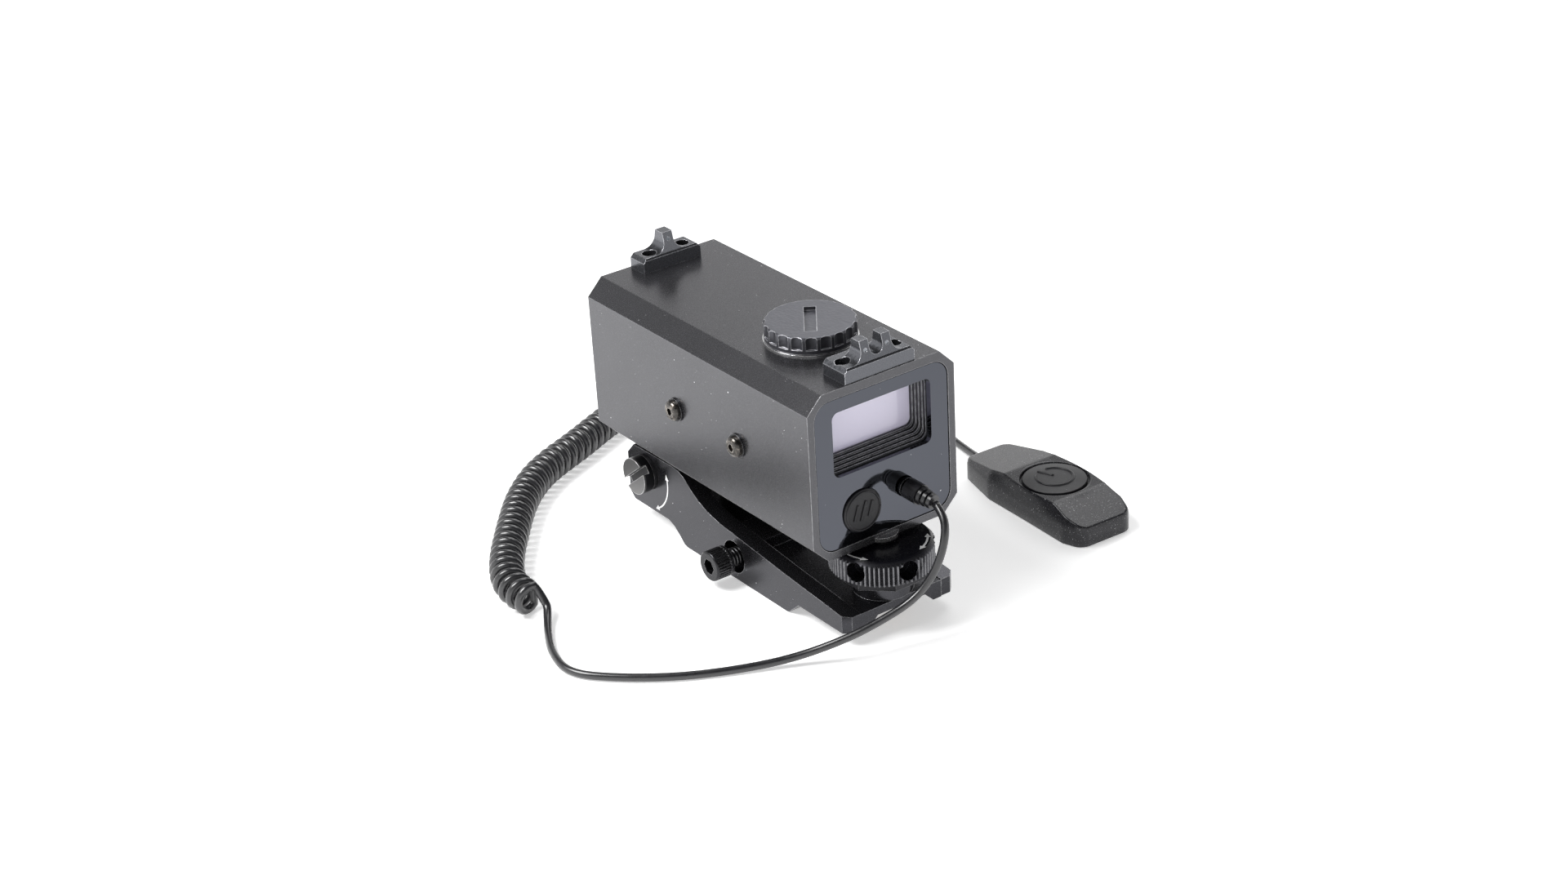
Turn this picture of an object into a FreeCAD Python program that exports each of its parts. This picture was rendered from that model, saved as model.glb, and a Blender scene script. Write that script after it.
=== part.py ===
import FreeCAD, Part
import math
import os

# Rail-mounted electronic sight with an adjustable base and a wired remote switch.
# Millimetres. +X right, +Y the way the sight aims, +Z up.
# The origin is on the rail's top face, on the sight's mid-plane, under the clamp screw.
# Everything is written as seen from behind: the user's end is at -Y.

V = FreeCAD.Vector
X_AXIS = V(1, 0, 0)
Y_AXIS = V(0, 1, 0)
Z_AXIS = V(0, 0, 1)

# ---- driving dimensions -------------------------------------------------------------
RUNNING_GAP = 0.05          # radial clearance of every turning or sliding fit
EASY_GAP = 0.1              # gap between faces that pass each other

# housing, an extruded tube with chamfered edges
HOUSING_W = 47.0
HOUSING_H = 47.1
HOUSING_L = 98.9
HOUSING_CHAMFER = 4.7
USER_Y = -44.2              # face towards the user
FAR_Y = USER_Y + HOUSING_L
HOUSING_Z = 17.8            # underside
TOP_Z = HOUSING_Z + HOUSING_H
BORE_W = 42.8               # the tube's bore, which the end panels close
BORE_LOW = HOUSING_Z + 2.2
BORE_HIGH = TOP_Z - 2.5
BORE_CORNER = 5.0
PANEL_GAP = 0.2
PANEL_INSET = 0.2
PANEL_T = 2.0

# window at the user's end
WINDOW_W = 31.5
WINDOW_LOW = HOUSING_Z + 22.4
WINDOW_HIGH = HOUSING_Z + 40.65
WINDOW_CORNER = 2.0
BEZEL_STEPS = 5
BEZEL_STEP_DEPTH = 1.0
BEZEL_SIDE_STEP = 0.3
BEZEL_LOW_STEP = 0.62
BEZEL_RIM = 1.6
GLASS_T = 1.4
GLASS_LAP = 0.8

# mode button and socket of the remote lead, both in the user's panel
BUTTON_X = -7.6
BUTTON_Z = HOUSING_Z + 10.8
BUTTON_R = 6.0
BUTTON_PROUD = 0.7
BUTTON_FLANGE_R = 7.0
JACK_X = 7.1
JACK_Z = HOUSING_Z + 12.2
JACK_NOSE_R = 2.6
JACK_BODY_R = 4.0
JACK_BORE_R = 1.3

# battery under a coin-slot cap
CAP_Y = -15.2
CAP_R = 12.2
CAP_H = 4.6
CAP_SCALLOPS = 20
CAP_SCALLOP_R = 2.4
CAP_NECK_R = 10.0
CAP_SLOT_L = 15.2
CAP_SLOT_W = 3.2
CAP_SLOT_DEPTH = 1.1
CAP_SLOT_TURN = -36.0        # degrees about +Z
O_RING_R = 0.5
CONTACT_R = 6.0
CAP_SEAT_H = 0.4
CELL_R = 7.8
CELL_L = 27.0

# open sights on the top face
SIGHT_L = 9.0
SIGHT_END_H = 3.0
SIGHT_H = 4.1
SIGHT_POST_H = 9.4
REAR_SIGHT_HALF = 11.05
FRONT_SIGHT_HALF = 9.4
REAR_SIGHT_Y = USER_Y + 0.3
FRONT_SIGHT_Y = FAR_Y - 7.3
SIGHT_SCREW_R = 1.0
SIGHT_HOLE_R = 2.0
SIGHT_SCREW_HEAD_H = 1.2
REAR_SIGHT_SCREW_X = 8.2
FRONT_SIGHT_SCREW_X = 5.4
REAR_SIGHT_SCREW_Y = REAR_SIGHT_Y + 4.6
FRONT_SIGHT_SCREW_Y = FRONT_SIGHT_Y + 3.2
FIBRE_R = 0.5
POST_OUTER = 4.8
POST_NEAR_RUN = 2.0
POST_FAR_RUN = 1.2
SHOULDER_R = 3.2
NOTCH_R = 2.1
FIBRE_X = 3.4
FIBRE_Z = TOP_Z + 6.8
POST_L = 6.2
FRONT_SIGHT_L = 6.6
FRONT_POST_HALF = 1.6

# side screws, M3 button heads on washers
SIDE_SCREW_Y = (-13.0, 14.9)
SIDE_SCREW_Z = HOUSING_Z + 22.9
M3_R = 1.5
SIDE_HEAD_R = 2.85
SIDE_HEAD_H = 1.7
SIDE_WASHER_R = 3.3
SIDE_WASHER_T = 0.5
SIDE_SCREW_L = 5.5

# base
BASE_HALF = 18.1
BASE_NEAR_Y = -49.3
BASE_FAR_Y = 49.8
CHANNEL_HALF = 13.2         # inner faces of the side walls and ears
CHANNEL_FLOOR = 2.4
BASE_CORNER = 1.9
SKIRT_Z = -2.4              # side walls' lower edge outside the jaws
EAR_SKIRT_Z = -1.2
JAW_Z = -6.4                # jaws' lower edge, which is what the sight stands on
RAIL_TOP_HALF = 7.8
RAIL_HALF = 10.6
RAIL_SLOPE = 2.8
RAIL_FLAT = 0.6
JAW_NEAR_Y = -24.0
JAW_FAR_Y = 24.0
CLAMP_JAW_FAR_Y = 24.0

# clamp screw, M5 socket cap across the rail slot
CLAMP_Z = 0.2
CLAMP_R = 2.45
CLAMP_HEAD_R = 4.25
CLAMP_HEAD_H = 5.0
CLAMP_HEX_AF = 4.0
CLAMP_KNURLS = 32
CLAMP_STANDS_OUT = 3.3      # from the wall to the head's underside
CLAMP_L = 40.0
CLAMP_BORE_R = 4.7
CLAMP_SEAT_X = -12.6
CLAMP_WASHER_T = 0.6
CLAMP_RIB_HALF = 6.0
CLAMP_RIB_Z = 5.6
GUIDE_PIN_Y = 16.0
GUIDE_PIN_Z = 0.8
GUIDE_PIN_R = 1.2
GUIDE_PIN_X = (9.0, 16.5)
SEAT_LIP_Z = -2.6
EAR_NEAR_Y = CLAMP_JAW_FAR_Y + EASY_GAP

# windage screw, across the ears; the sight also pitches about it
PIVOT_Y = 41.0
PIVOT_Z = 9.8
WINDAGE_R = 3.0
WINDAGE_HEAD_R = 5.3
WINDAGE_HEAD_H = 3.4
WINDAGE_SLOT_W = 2.3
WINDAGE_SLOT_D = 1.9
WINDAGE_SLOT_TURN = -38.0    # degrees about +X
FRICTION_WASHER_T = 0.6
BARREL_R = 4.5
BARREL_HALF = 7.0
LUG_R = 6.4
LUG_T = 4.4

# elevation wheel, a jack screw under the user's end
WHEEL_Y = -41.7
WHEEL_LOW = 10.0
WHEEL_HIGH = 16.8
WHEEL_R = 14.0
WHEEL_TOP_R = 12.75
WHEEL_CHAMFER_H = 1.3
WHEEL_HOLES = 6
WHEEL_HOLE_R = 2.7
WHEEL_HOLE_DEPTH = 4.6
WHEEL_HOLE_ANGLE = -97.5
WHEEL_RIDGES = 70
WHEEL_RIDGE_DEPTH = 0.45
HUB_AF = 23.4
HUB_LOW = 7.6
JACK_SCREW_R = 4.0
JACK_SCREW_LOW = 1.2
JACK_SCREW_HIGH = 12.8
THRUST_PIN_R = 2.2
BUSH_R = 5.6
BOSS_R = 8.0
BOSS_Z = 6.8
THRUST_PAD_R = 4.6
THRUST_PAD_T = 1.2

# bracket under the housing
BRACKET_HALF = 11.5
BRACKET_T = 3.0
BRACKET_NEAR_Y = -26.0
BRACKET_FAR_Y = 48.5
BRACKET_SCREWS = ((-7.0, -18.0), (7.0, -18.0), (-7.0, 20.0), (7.0, 20.0))
SPRING_WIRE_R = 0.5
ANCHOR_PIN_Y = PIVOT_Y - 10.5
ANCHOR_PIN_Z = 11.4
ANCHOR_PIN_R = 1.0
SPRING_ROOM_R = BARREL_R + 1.5

# optics and electronics behind the panels
RECEIVER_X = 8.0
RECEIVER_Z = HOUSING_Z + 25.0
RECEIVER_R = 11.0
EMITTER_X = -12.5
EMITTER_Z = HOUSING_Z + 25.0
EMITTER_R = 6.5
TUBE_WALL = 1.2

# remote lead: a cord that is straight at its ends and curly in the middle
CORD_R = 1.1
FLOOR_Z = JAW_Z
COIL_R = 4.9
LIE_Z = FLOOR_Z + CORD_R
COIL_Z = FLOOR_Z + COIL_R
PLUG_TIP_R = 1.25
PLUG_TIP_L = 7.4
BOOT_R = 2.85
BOOT_GRIP_L = 4.3
BOOT_CORE_R = 1.5
BOOT_RINGS = 3
BOOT_RING_R = 2.55
BOOT_L = 9.0
BOOT_TO = V(0.13, -0.98, -0.12)

# the lead's route by its corners: from the plug, round the base's corner, over the floor
FRONT_ROUTE = [
    (8.3, -54.0, 28.7), (8.0, -57.4, 27.2), (6.6, -60.2, 24.0), (4.2, -61.2, 18.4),
    (1.2, -60.6, 12.4), (-3.8, -59.0, 7.0), (-12.0, -56.4, 3.2), (-20.9, -53.4, 0.0),
    (-32.6, -46.2, -4.4), (-46.0, -40.0, LIE_Z), (-59.5, -32.8, LIE_Z),
    (-71.5, -22.8, LIE_Z), (-79.6, -13.0, LIE_Z), (-77.8, -2.0, LIE_Z),
    (-72.8, 8.0, LIE_Z), (-68.6, 14.5, LIE_Z + 1.0), (-66.3, 18.0, LIE_Z + 3.9),
]
COIL_ROUTE = [
    (-69.8, 19.0, COIL_Z), (-71.6, 27.4, COIL_Z), (-65.6, 40.4, COIL_Z),
    (-53.8, 55.6, COIL_Z), (-42.0, 69.8, COIL_Z), (-29.0, 80.2, COIL_Z),
    (-12.5, 86.8, COIL_Z), (3.5, 94.5, COIL_Z), (19.0, 100.5, COIL_Z),
]
BACK_ROUTE = [
    (19.7, 100.7, LIE_Z), (28.6, 101.6, LIE_Z), (39.0, 97.6, LIE_Z), (50.5, 90.0, LIE_Z),
    (61.5, 79.6, LIE_Z), (70.5, 66.8, LIE_Z), (76.4, 52.6, LIE_Z), (77.9, 38.2, LIE_Z),
    (76.6, 25.0, LIE_Z), (74.6, 14.8, LIE_Z + 0.3), (72.98, 6.9, LIE_Z + 1.0),
]

# remote switch pad, lying on the floor beside the sight
PAD_CENTRE = V(71.5, -23.75, FLOOR_Z)
PAD_TURN = -2.5             # degrees about +Z
PAD_HALF_L = 27.0
PAD_HALF_W = 10.8
PAD_WAIST = ((-27.0, 8.6), (-21.0, 10.8), (12.0, 10.8), (27.0, 7.6))
PAD_WALL_H = 5.2
PAD_TOP_H = 9.6
PAD_CROWN_R = 95.0
PAD_WALL_T = 1.4
PAD_PLATE_T = 1.0
PAD_BUTTON_Y = -4.5
PAD_BUTTON_R = 8.9
PAD_BUTTON_TOP = 10.6
PAD_BUTTON_CROWN = 0.8
PAD_FLANGE_R = 9.4
PAD_FLANGE_Z = (4.4, 5.4)
PAD_ROOM_R = 9.6
PAD_ROOM_TOP = 5.5
PAD_TRAVEL = 0.8
RELIEF_R = 2.0
RELIEF_L = 3.2


# ---- helpers ------------------------------------------------------------------------
def block(x, y, z):
    """A box from three (low, high) pairs."""
    return Part.makeBox(x[1] - x[0], y[1] - y[0], z[1] - z[0], V(x[0], y[0], z[0]))


def rod(start, axis, radius, length):
    return Part.makeCylinder(radius, length, V(*start), axis)


def ring(start, axis, outer, inner, length):
    return rod(start, axis, outer, length).cut(rod(start, axis, inner, length))


def along_x(points, x):
    """A prism from (y, z) points, between two values of x."""
    corners = [V(x[0], y, z) for y, z in points]
    face = Part.Face(Part.makePolygon(corners + corners[:1]))
    return face.extrude(V(x[1] - x[0], 0, 0))


def along_y(points, y):
    """A prism from (x, z) points, between two values of y."""
    corners = [V(x, y[0], z) for x, z in points]
    face = Part.Face(Part.makePolygon(corners + corners[:1]))
    return face.extrude(V(0, y[1] - y[0], 0))


def rounded(x, z, y, corner):
    """A block whose four edges along y are rounded."""
    solid = block(x, y, z)
    edges = [e for e in solid.Edges if abs(e.tangentAt(e.FirstParameter).y) > 0.99]
    return solid.makeFillet(corner, edges)


def polygon_prism(centre, flats, sides, z):
    """A regular prism about a vertical axis, by its size across flats."""
    radius = flats / 2 / math.cos(math.pi / sides)
    turns = [math.tau * (k + 0.5) / sides for k in range(sides)]
    corners = [V(centre[0] + radius * math.cos(t), centre[1] + radius * math.sin(t), z[0])
               for t in turns]
    face = Part.Face(Part.makePolygon(corners + corners[:1]))
    return face.extrude(V(0, 0, z[1] - z[0]))


def hexagon_along_x(x, y, z, flats):
    """A hexagonal prism about an axis along x."""
    radius = flats / math.sqrt(3)
    turns = [math.tau * k / 6 for k in range(6)]
    return along_x([(y + radius * math.cos(t), z + radius * math.sin(t)) for t in turns], x)


def joined(solids):
    """One solid from several that share volume or faces."""
    result = solids[0]
    for other in solids[1:]:
        result = result.fuse(other)
    return result.removeSplitter()


def cut_by(solid, tools):
    return solid.cut(Part.makeCompound(tools))


def round_edges_at(solid, radius, chosen):
    """Rounds the edges that the function chosen picks."""
    return solid.makeFillet(radius, [e for e in solid.Edges if chosen(e)])


# ---- housing body -------------------------------------------------------------------
def housing_outline(half, low, high, chamfer):
    return [
        (-half + chamfer, low), (half - chamfer, low), (half, low + chamfer),
        (half, high - chamfer), (half - chamfer, high), (-half + chamfer, high),
        (-half, high - chamfer), (-half, low + chamfer),
    ]


def housing():
    outline = housing_outline(HOUSING_W / 2, HOUSING_Z, TOP_Z, HOUSING_CHAMFER)
    shell = along_y(outline, (USER_Y, FAR_Y))
    half = BORE_W / 2
    bore = rounded((-half, half), (BORE_LOW, BORE_HIGH), (USER_Y - 1, FAR_Y + 1), BORE_CORNER)
    tools = [bore, rod((0, CAP_Y, BORE_HIGH - 1), Z_AXIS, CAP_NECK_R + RUNNING_GAP, 5)]
    for y in SIDE_SCREW_Y:
        tools.append(rod((-HOUSING_W, y, SIDE_SCREW_Z), X_AXIS, M3_R, 2 * HOUSING_W))
    for x, y in BRACKET_SCREWS:
        tools.append(rod((x, y, HOUSING_Z - 1), Z_AXIS, M3_R, 5))
    for x, y in sight_screw_places():
        tools.append(rod((x, y, BORE_HIGH - 1), Z_AXIS, SIGHT_SCREW_R, 5))
    tools.append(rod((0, WHEEL_Y, HOUSING_Z - 1), Z_AXIS, THRUST_PAD_R, 1 + THRUST_PAD_T))
    return cut_by(shell, tools)


def sight_screw_places():
    rear = [(s * REAR_SIGHT_SCREW_X, REAR_SIGHT_SCREW_Y) for s in (-1, 1)]
    front = [(s * FRONT_SIGHT_SCREW_X, FRONT_SIGHT_SCREW_Y) for s in (-1, 1)]
    return rear + front


def thrust_pad():
    """Hardened disc let into the housing's underside, which the thrust pin presses."""
    return rod((0, WHEEL_Y, HOUSING_Z), Z_AXIS, THRUST_PAD_R, THRUST_PAD_T)


def panel(y):
    half = BORE_W / 2 - PANEL_GAP
    z = (BORE_LOW + PANEL_GAP, BORE_HIGH - PANEL_GAP)
    return rounded((-half, half), z, (y, y + PANEL_T), BORE_CORNER - PANEL_GAP)


USER_PANEL_Y = USER_Y + PANEL_INSET
FAR_PANEL_Y = FAR_Y - PANEL_INSET - PANEL_T
BEHIND_PANEL_Y = USER_PANEL_Y + PANEL_T


def user_panel():
    half = WINDOW_W / 2
    y = (USER_PANEL_Y - 1, BEHIND_PANEL_Y + 1)
    window = rounded((-half, half), (WINDOW_LOW, WINDOW_HIGH), y, WINDOW_CORNER)
    through = PANEL_T + 2
    button = rod((BUTTON_X, y[0], BUTTON_Z), Y_AXIS, BUTTON_R + EASY_GAP, through)
    jack = rod((JACK_X, y[0], JACK_Z), Y_AXIS, JACK_NOSE_R, through)
    return cut_by(panel(USER_PANEL_Y), [window, button, jack])


BEZEL_DEPTH = BEZEL_STEPS * BEZEL_STEP_DEPTH
GLASS_Y = BEHIND_PANEL_Y + BEZEL_DEPTH


def bezel_opening(step, grow):
    """Half width and (low, high) of the bezel's opening after some steps."""
    half = WINDOW_W / 2 - BEZEL_SIDE_STEP * step + grow
    low = WINDOW_LOW + BEZEL_LOW_STEP * step - grow
    high = WINDOW_HIGH - BEZEL_SIDE_STEP * step + grow
    return half, (low, high)


def window_bezel():
    """Stepped light trap between the panel and the display glass."""
    half, z = bezel_opening(0, BEZEL_RIM)
    frame = rounded((-half, half), z, (BEHIND_PANEL_Y, GLASS_Y), WINDOW_CORNER)
    tools = []
    for step in range(BEZEL_STEPS):
        half, z = bezel_opening(step + 1, 0)
        near = BEHIND_PANEL_Y + step * BEZEL_STEP_DEPTH
        y = (near - (step == 0), near + BEZEL_STEP_DEPTH + (step == BEZEL_STEPS - 1))
        tools.append(rounded((-half, half), z, y, WINDOW_CORNER))
    return cut_by(frame, tools)


def display_glass():
    half, z = bezel_opening(BEZEL_STEPS, GLASS_LAP)
    return rounded((-half, half), z, (GLASS_Y, GLASS_Y + GLASS_T), WINDOW_CORNER)


DISPLAY_Y = GLASS_Y + GLASS_T
DISPLAY_T = 3.0
FRONT_BOARD_Y = DISPLAY_Y + DISPLAY_T
BOARD_T = 1.6


def display_module():
    half, z = bezel_opening(BEZEL_STEPS, GLASS_LAP)
    return block((-half, half), (DISPLAY_Y, FRONT_BOARD_Y), z)


def front_board():
    """Upright circuit board that carries the display, the mode switch and the jack."""
    return block((-18.0, 18.0), (FRONT_BOARD_Y, FRONT_BOARD_Y + BOARD_T),
                 (BORE_LOW + 1.0, WINDOW_HIGH))


SWITCH_HALF = 3.0
SWITCH_Y = BEHIND_PANEL_Y + 3.6
PLUNGER_R = 1.7
BUTTON_TRAVEL = 0.6
FLANGE_T = 1.0


def mode_button():
    proud = rod((BUTTON_X, USER_PANEL_Y - BUTTON_PROUD, BUTTON_Z), Y_AXIS, BUTTON_R,
                BUTTON_PROUD + PANEL_T + EASY_GAP)
    crowned = round_edges_at(proud, 0.5, lambda e: e.BoundBox.YMax < USER_PANEL_Y - 0.1)
    flange = rod((BUTTON_X, BEHIND_PANEL_Y + EASY_GAP, BUTTON_Z), Y_AXIS,
                 BUTTON_FLANGE_R, FLANGE_T)
    return joined([crowned, flange])


def mode_switch():
    body = block((BUTTON_X - SWITCH_HALF, BUTTON_X + SWITCH_HALF),
                 (SWITCH_Y, FRONT_BOARD_Y),
                 (BUTTON_Z - SWITCH_HALF, BUTTON_Z + SWITCH_HALF))
    tip_y = BEHIND_PANEL_Y + EASY_GAP + FLANGE_T + BUTTON_TRAVEL + EASY_GAP
    plunger = rod((BUTTON_X, tip_y, BUTTON_Z), Y_AXIS, PLUNGER_R, SWITCH_Y - tip_y)
    return joined([body, plunger])


JACK_NOSE_Y = USER_PANEL_Y - 0.4
JACK_DEPTH = 8.6


def remote_jack():
    nose = rod((JACK_X, JACK_NOSE_Y, JACK_Z), Y_AXIS, JACK_NOSE_R,
               BEHIND_PANEL_Y - JACK_NOSE_Y)
    body = rod((JACK_X, BEHIND_PANEL_Y, JACK_Z), Y_AXIS, JACK_BODY_R,
               FRONT_BOARD_Y - BEHIND_PANEL_Y)
    bore = rod((JACK_X, JACK_NOSE_Y, JACK_Z), Y_AXIS, JACK_BORE_R, JACK_DEPTH)
    return joined([nose, body]).cut(bore)


def far_panel():
    y = FAR_PANEL_Y - 1
    receiver = rod((RECEIVER_X, y, RECEIVER_Z), Y_AXIS, RECEIVER_R + 0.6, PANEL_T + 2)
    emitter = rod((EMITTER_X, y, EMITTER_Z), Y_AXIS, EMITTER_R + 0.6, PANEL_T + 2)
    return cut_by(panel(FAR_PANEL_Y), [receiver, emitter])


OPTICS_Y = (9.5, FAR_PANEL_Y - 0.2)
OPTICS_LOW = RECEIVER_Z - 14.5
OPTICS_HIGH = RECEIVER_Z + 14.0
HOLDER_HALF = BORE_W / 2 - 0.1
TUBE_Y = OPTICS_Y[0] + 9.0
DISC_T = 2.0
WIRE_HOLE_R = 3.0


def optics_block():
    """Machined block with the two lens tubes' bores, held by the far side screws."""
    solid = block((-HOLDER_HALF, HOLDER_HALF), OPTICS_Y, (OPTICS_LOW, OPTICS_HIGH))
    start = TUBE_Y - DISC_T
    length = OPTICS_Y[1] - start + 1
    tools = [
        rod((RECEIVER_X, start, RECEIVER_Z), Y_AXIS, RECEIVER_R + TUBE_WALL, length),
        rod((EMITTER_X, start, EMITTER_Z), Y_AXIS, EMITTER_R + TUBE_WALL, length),
    ]
    for x, z in ((RECEIVER_X, RECEIVER_Z), (EMITTER_X, EMITTER_Z)):
        tools.append(rod((x, OPTICS_Y[0] - 1, z), Y_AXIS, WIRE_HOLE_R, 20))
    for side in (-1, 1):
        tools.append(side_screw_hole(side, SIDE_SCREW_Y[1]))
    return cut_by(solid, tools)


def side_screw_hole(side, y):
    inner = HOUSING_W / 2 - SIDE_SCREW_L
    x = inner if side > 0 else -HOUSING_W / 2
    return rod((x, y, SIDE_SCREW_Z), X_AXIS, M3_R, SIDE_SCREW_L)


def lens_tube(x, z, radius):
    return ring((x, TUBE_Y, z), Y_AXIS, radius + TUBE_WALL, radius, OPTICS_Y[1] - TUBE_Y)


def receiver_tube():
    return lens_tube(RECEIVER_X, RECEIVER_Z, RECEIVER_R)


def emitter_tube():
    return lens_tube(EMITTER_X, EMITTER_Z, EMITTER_R)


def lens(x, z, radius, y, rim, bulge):
    """A lens with one domed face, which looks out of the far end."""
    sphere_r = (radius ** 2 + bulge ** 2) / (2 * bulge)
    edge = rod((x, y, z), Y_AXIS, radius, rim)
    dome = Part.makeSphere(sphere_r, V(x, y + rim + bulge - sphere_r, z))
    cap = dome.common(rod((x, y + rim, z), Y_AXIS, radius, bulge + 1))
    return joined([edge, cap])


LENS_Y = OPTICS_Y[1] - 6.0
LENS_RIM = 2.0
RETAINER_Y = LENS_Y + LENS_RIM
RETAINER_WALL = 0.6
RETAINER_L = 2.0


def receiver_lens():
    return lens(RECEIVER_X, RECEIVER_Z, RECEIVER_R, LENS_Y, LENS_RIM, 1.6)


def emitter_lens():
    return lens(EMITTER_X, EMITTER_Z, EMITTER_R, LENS_Y, LENS_RIM, 1.1)


def lens_rings():
    """Thin rings that hold the two lenses in their tubes."""
    large = ring((RECEIVER_X, RETAINER_Y, RECEIVER_Z), Y_AXIS, RECEIVER_R,
                 RECEIVER_R - RETAINER_WALL, RETAINER_L)
    small = ring((EMITTER_X, RETAINER_Y, EMITTER_Z), Y_AXIS, EMITTER_R,
                 EMITTER_R - RETAINER_WALL, RETAINER_L)
    return Part.makeCompound([large.cut(receiver_lens()), small.cut(emitter_lens())])



def detector():
    """Light sensor on its disc, closing the receiver tube's inner end."""
    disc = rod((RECEIVER_X, TUBE_Y - DISC_T, RECEIVER_Z), Y_AXIS,
               RECEIVER_R + TUBE_WALL, DISC_T)
    can = rod((RECEIVER_X, TUBE_Y, RECEIVER_Z), Y_AXIS, 4.0, 3.5)
    return joined([disc, can])


def laser_diode():
    disc = rod((EMITTER_X, TUBE_Y - DISC_T, EMITTER_Z), Y_AXIS,
               EMITTER_R + TUBE_WALL, DISC_T)
    can = rod((EMITTER_X, TUBE_Y, EMITTER_Z), Y_AXIS, 2.8, 3.5)
    return joined([disc, can])


def main_board():
    """Main circuit board, lying on the housing's floor on four short feet."""
    z = BORE_LOW + 2.4
    board = block((-16.0, 16.0), (FRONT_BOARD_Y + BOARD_T, 40.0), (z, z + BOARD_T))
    feet = [rod((x, y, BORE_LOW), Z_AXIS, 1.8, z - BORE_LOW)
            for x in (-13.5, 13.5) for y in (-26.0, 36.0)]
    return joined([board] + feet)


HOLDER_Y = (CAP_Y - 11.0, CAP_Y + 11.0)
HOLDER_LOW = BORE_LOW + 10.7
HOLDER_HIGH = BORE_HIGH - BORE_CORNER - 0.2
CELL_LOW = HOLDER_LOW + 4.0
CELL_HIGH = CELL_LOW + CELL_L


def battery_holder():
    """Moulded block with an upright well for the cell, held by the near side screws."""
    solid = block((-HOLDER_HALF, HOLDER_HALF), HOLDER_Y, (HOLDER_LOW, HOLDER_HIGH))
    well = rod((0, CAP_Y, HOLDER_LOW + 1.5), Z_AXIS, CELL_R + 0.3, HOLDER_HIGH)
    tools = [well]
    for side in (-1, 1):
        tools.append(side_screw_hole(side, SIDE_SCREW_Y[0]))
        tools.append(block(sorted((side * 10.5, side * 16.0)),
                           (HOLDER_Y[0] - 1, HOLDER_Y[1] + 1), (HOLDER_LOW + 4, HOLDER_HIGH + 1)))
    return cut_by(solid, tools)


def battery_cell():
    body = rod((0, CAP_Y, CELL_LOW), Z_AXIS, CELL_R, CELL_L - 1.0)
    nub = rod((0, CAP_Y, CELL_HIGH - 1.0), Z_AXIS, 2.8, 1.0)
    return joined([body, nub])


def battery_spring():
    """Lower contact: a spring disc of two flat turns, pressed under the cell."""
    low = HOLDER_LOW + 1.5
    plate = rod((0, CAP_Y, low), Z_AXIS, 6.5, 0.4)
    turns = [ring((0, CAP_Y, low + 0.4 + 1.05 * k), Z_AXIS, 5.5 - 0.6 * k, 4.5 - 0.6 * k, 1.05)
             for k in range(2)]
    return joined([plate] + turns)


def battery_cap_seat():
    """Bright turned ring round the battery opening."""
    return ring((0, CAP_Y, TOP_Z), Z_AXIS, CAP_R + 0.3, CAP_NECK_R + RUNNING_GAP, CAP_SEAT_H)


CAP_LOW = TOP_Z + CAP_SEAT_H + EASY_GAP
NECK_LOW = BORE_HIGH - 1.0
CONTACT_T = 0.6
CONTACT_HIGH = NECK_LOW + 1.0


def battery_cap():
    head = rod((0, CAP_Y, CAP_LOW), Z_AXIS, CAP_R, CAP_H)
    head = round_edges_at(head, 0.6, lambda e: e.BoundBox.ZMin > CAP_LOW + CAP_H - 0.1)
    notch_r = CAP_R + CAP_SCALLOP_R * 0.75
    tools = []
    for k in range(CAP_SCALLOPS):
        turn = math.tau * k / CAP_SCALLOPS
        place = (notch_r * math.cos(turn), CAP_Y + notch_r * math.sin(turn), CAP_LOW + 1.2)
        tools.append(rod(place, Z_AXIS, CAP_SCALLOP_R, CAP_H))
    slot = block((-CAP_SLOT_W / 2, CAP_SLOT_W / 2),
                 (-CAP_SLOT_L / 2, CAP_SLOT_L / 2),
                 (CAP_LOW + CAP_H - CAP_SLOT_DEPTH, CAP_LOW + CAP_H + 1))
    slot.rotate(V(0, 0, 0), Z_AXIS, CAP_SLOT_TURN)
    slot.translate(V(0, CAP_Y, 0))
    neck = rod((0, CAP_Y, NECK_LOW), Z_AXIS, CAP_NECK_R, CAP_LOW - NECK_LOW)
    groove = ring((0, CAP_Y, TOP_Z - O_RING_R * 2 - 0.3), Z_AXIS, CAP_NECK_R + 1,
                  CAP_NECK_R - O_RING_R * 2, O_RING_R * 2)
    pocket = rod((0, CAP_Y, NECK_LOW - 1), Z_AXIS, CONTACT_R + EASY_GAP,
                 1 + CONTACT_HIGH + EASY_GAP - NECK_LOW)
    return cut_by(joined([head, neck]), tools + [slot, groove, pocket])


def cap_o_ring():
    z = TOP_Z - O_RING_R * 2 - 0.3
    return ring((0, CAP_Y, z), Z_AXIS, CAP_NECK_R, CAP_NECK_R - O_RING_R * 2, O_RING_R * 2)


def cap_contact():
    """Contact disc that hangs in the cap and stays still while the cap turns."""
    return rod((0, CAP_Y, CONTACT_HIGH - CONTACT_T), Z_AXIS, CONTACT_R, CONTACT_T)


def sight_blank(half, y):
    """Block for a sight, with chamfered ends and a chamfered near edge."""
    low = TOP_Z
    high = low + SIGHT_POST_H
    inside = half - 1.1
    points = [(-half, low), (-half, low + SIGHT_END_H), (-inside, low + SIGHT_H),
              (-inside, high), (inside, high), (inside, low + SIGHT_H),
              (half, low + SIGHT_END_H), (half, low)]
    shape = along_y(points, y)
    edge = along_x([(y[0] - 1, low + SIGHT_H - 0.5), (y[0], low + SIGHT_H - 0.5),
                    (y[0] + 0.5, low + SIGHT_H), (y[0] - 1, low + SIGHT_H)],
                   (-half - 1, half + 1))
    return shape.cut(edge)


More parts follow.
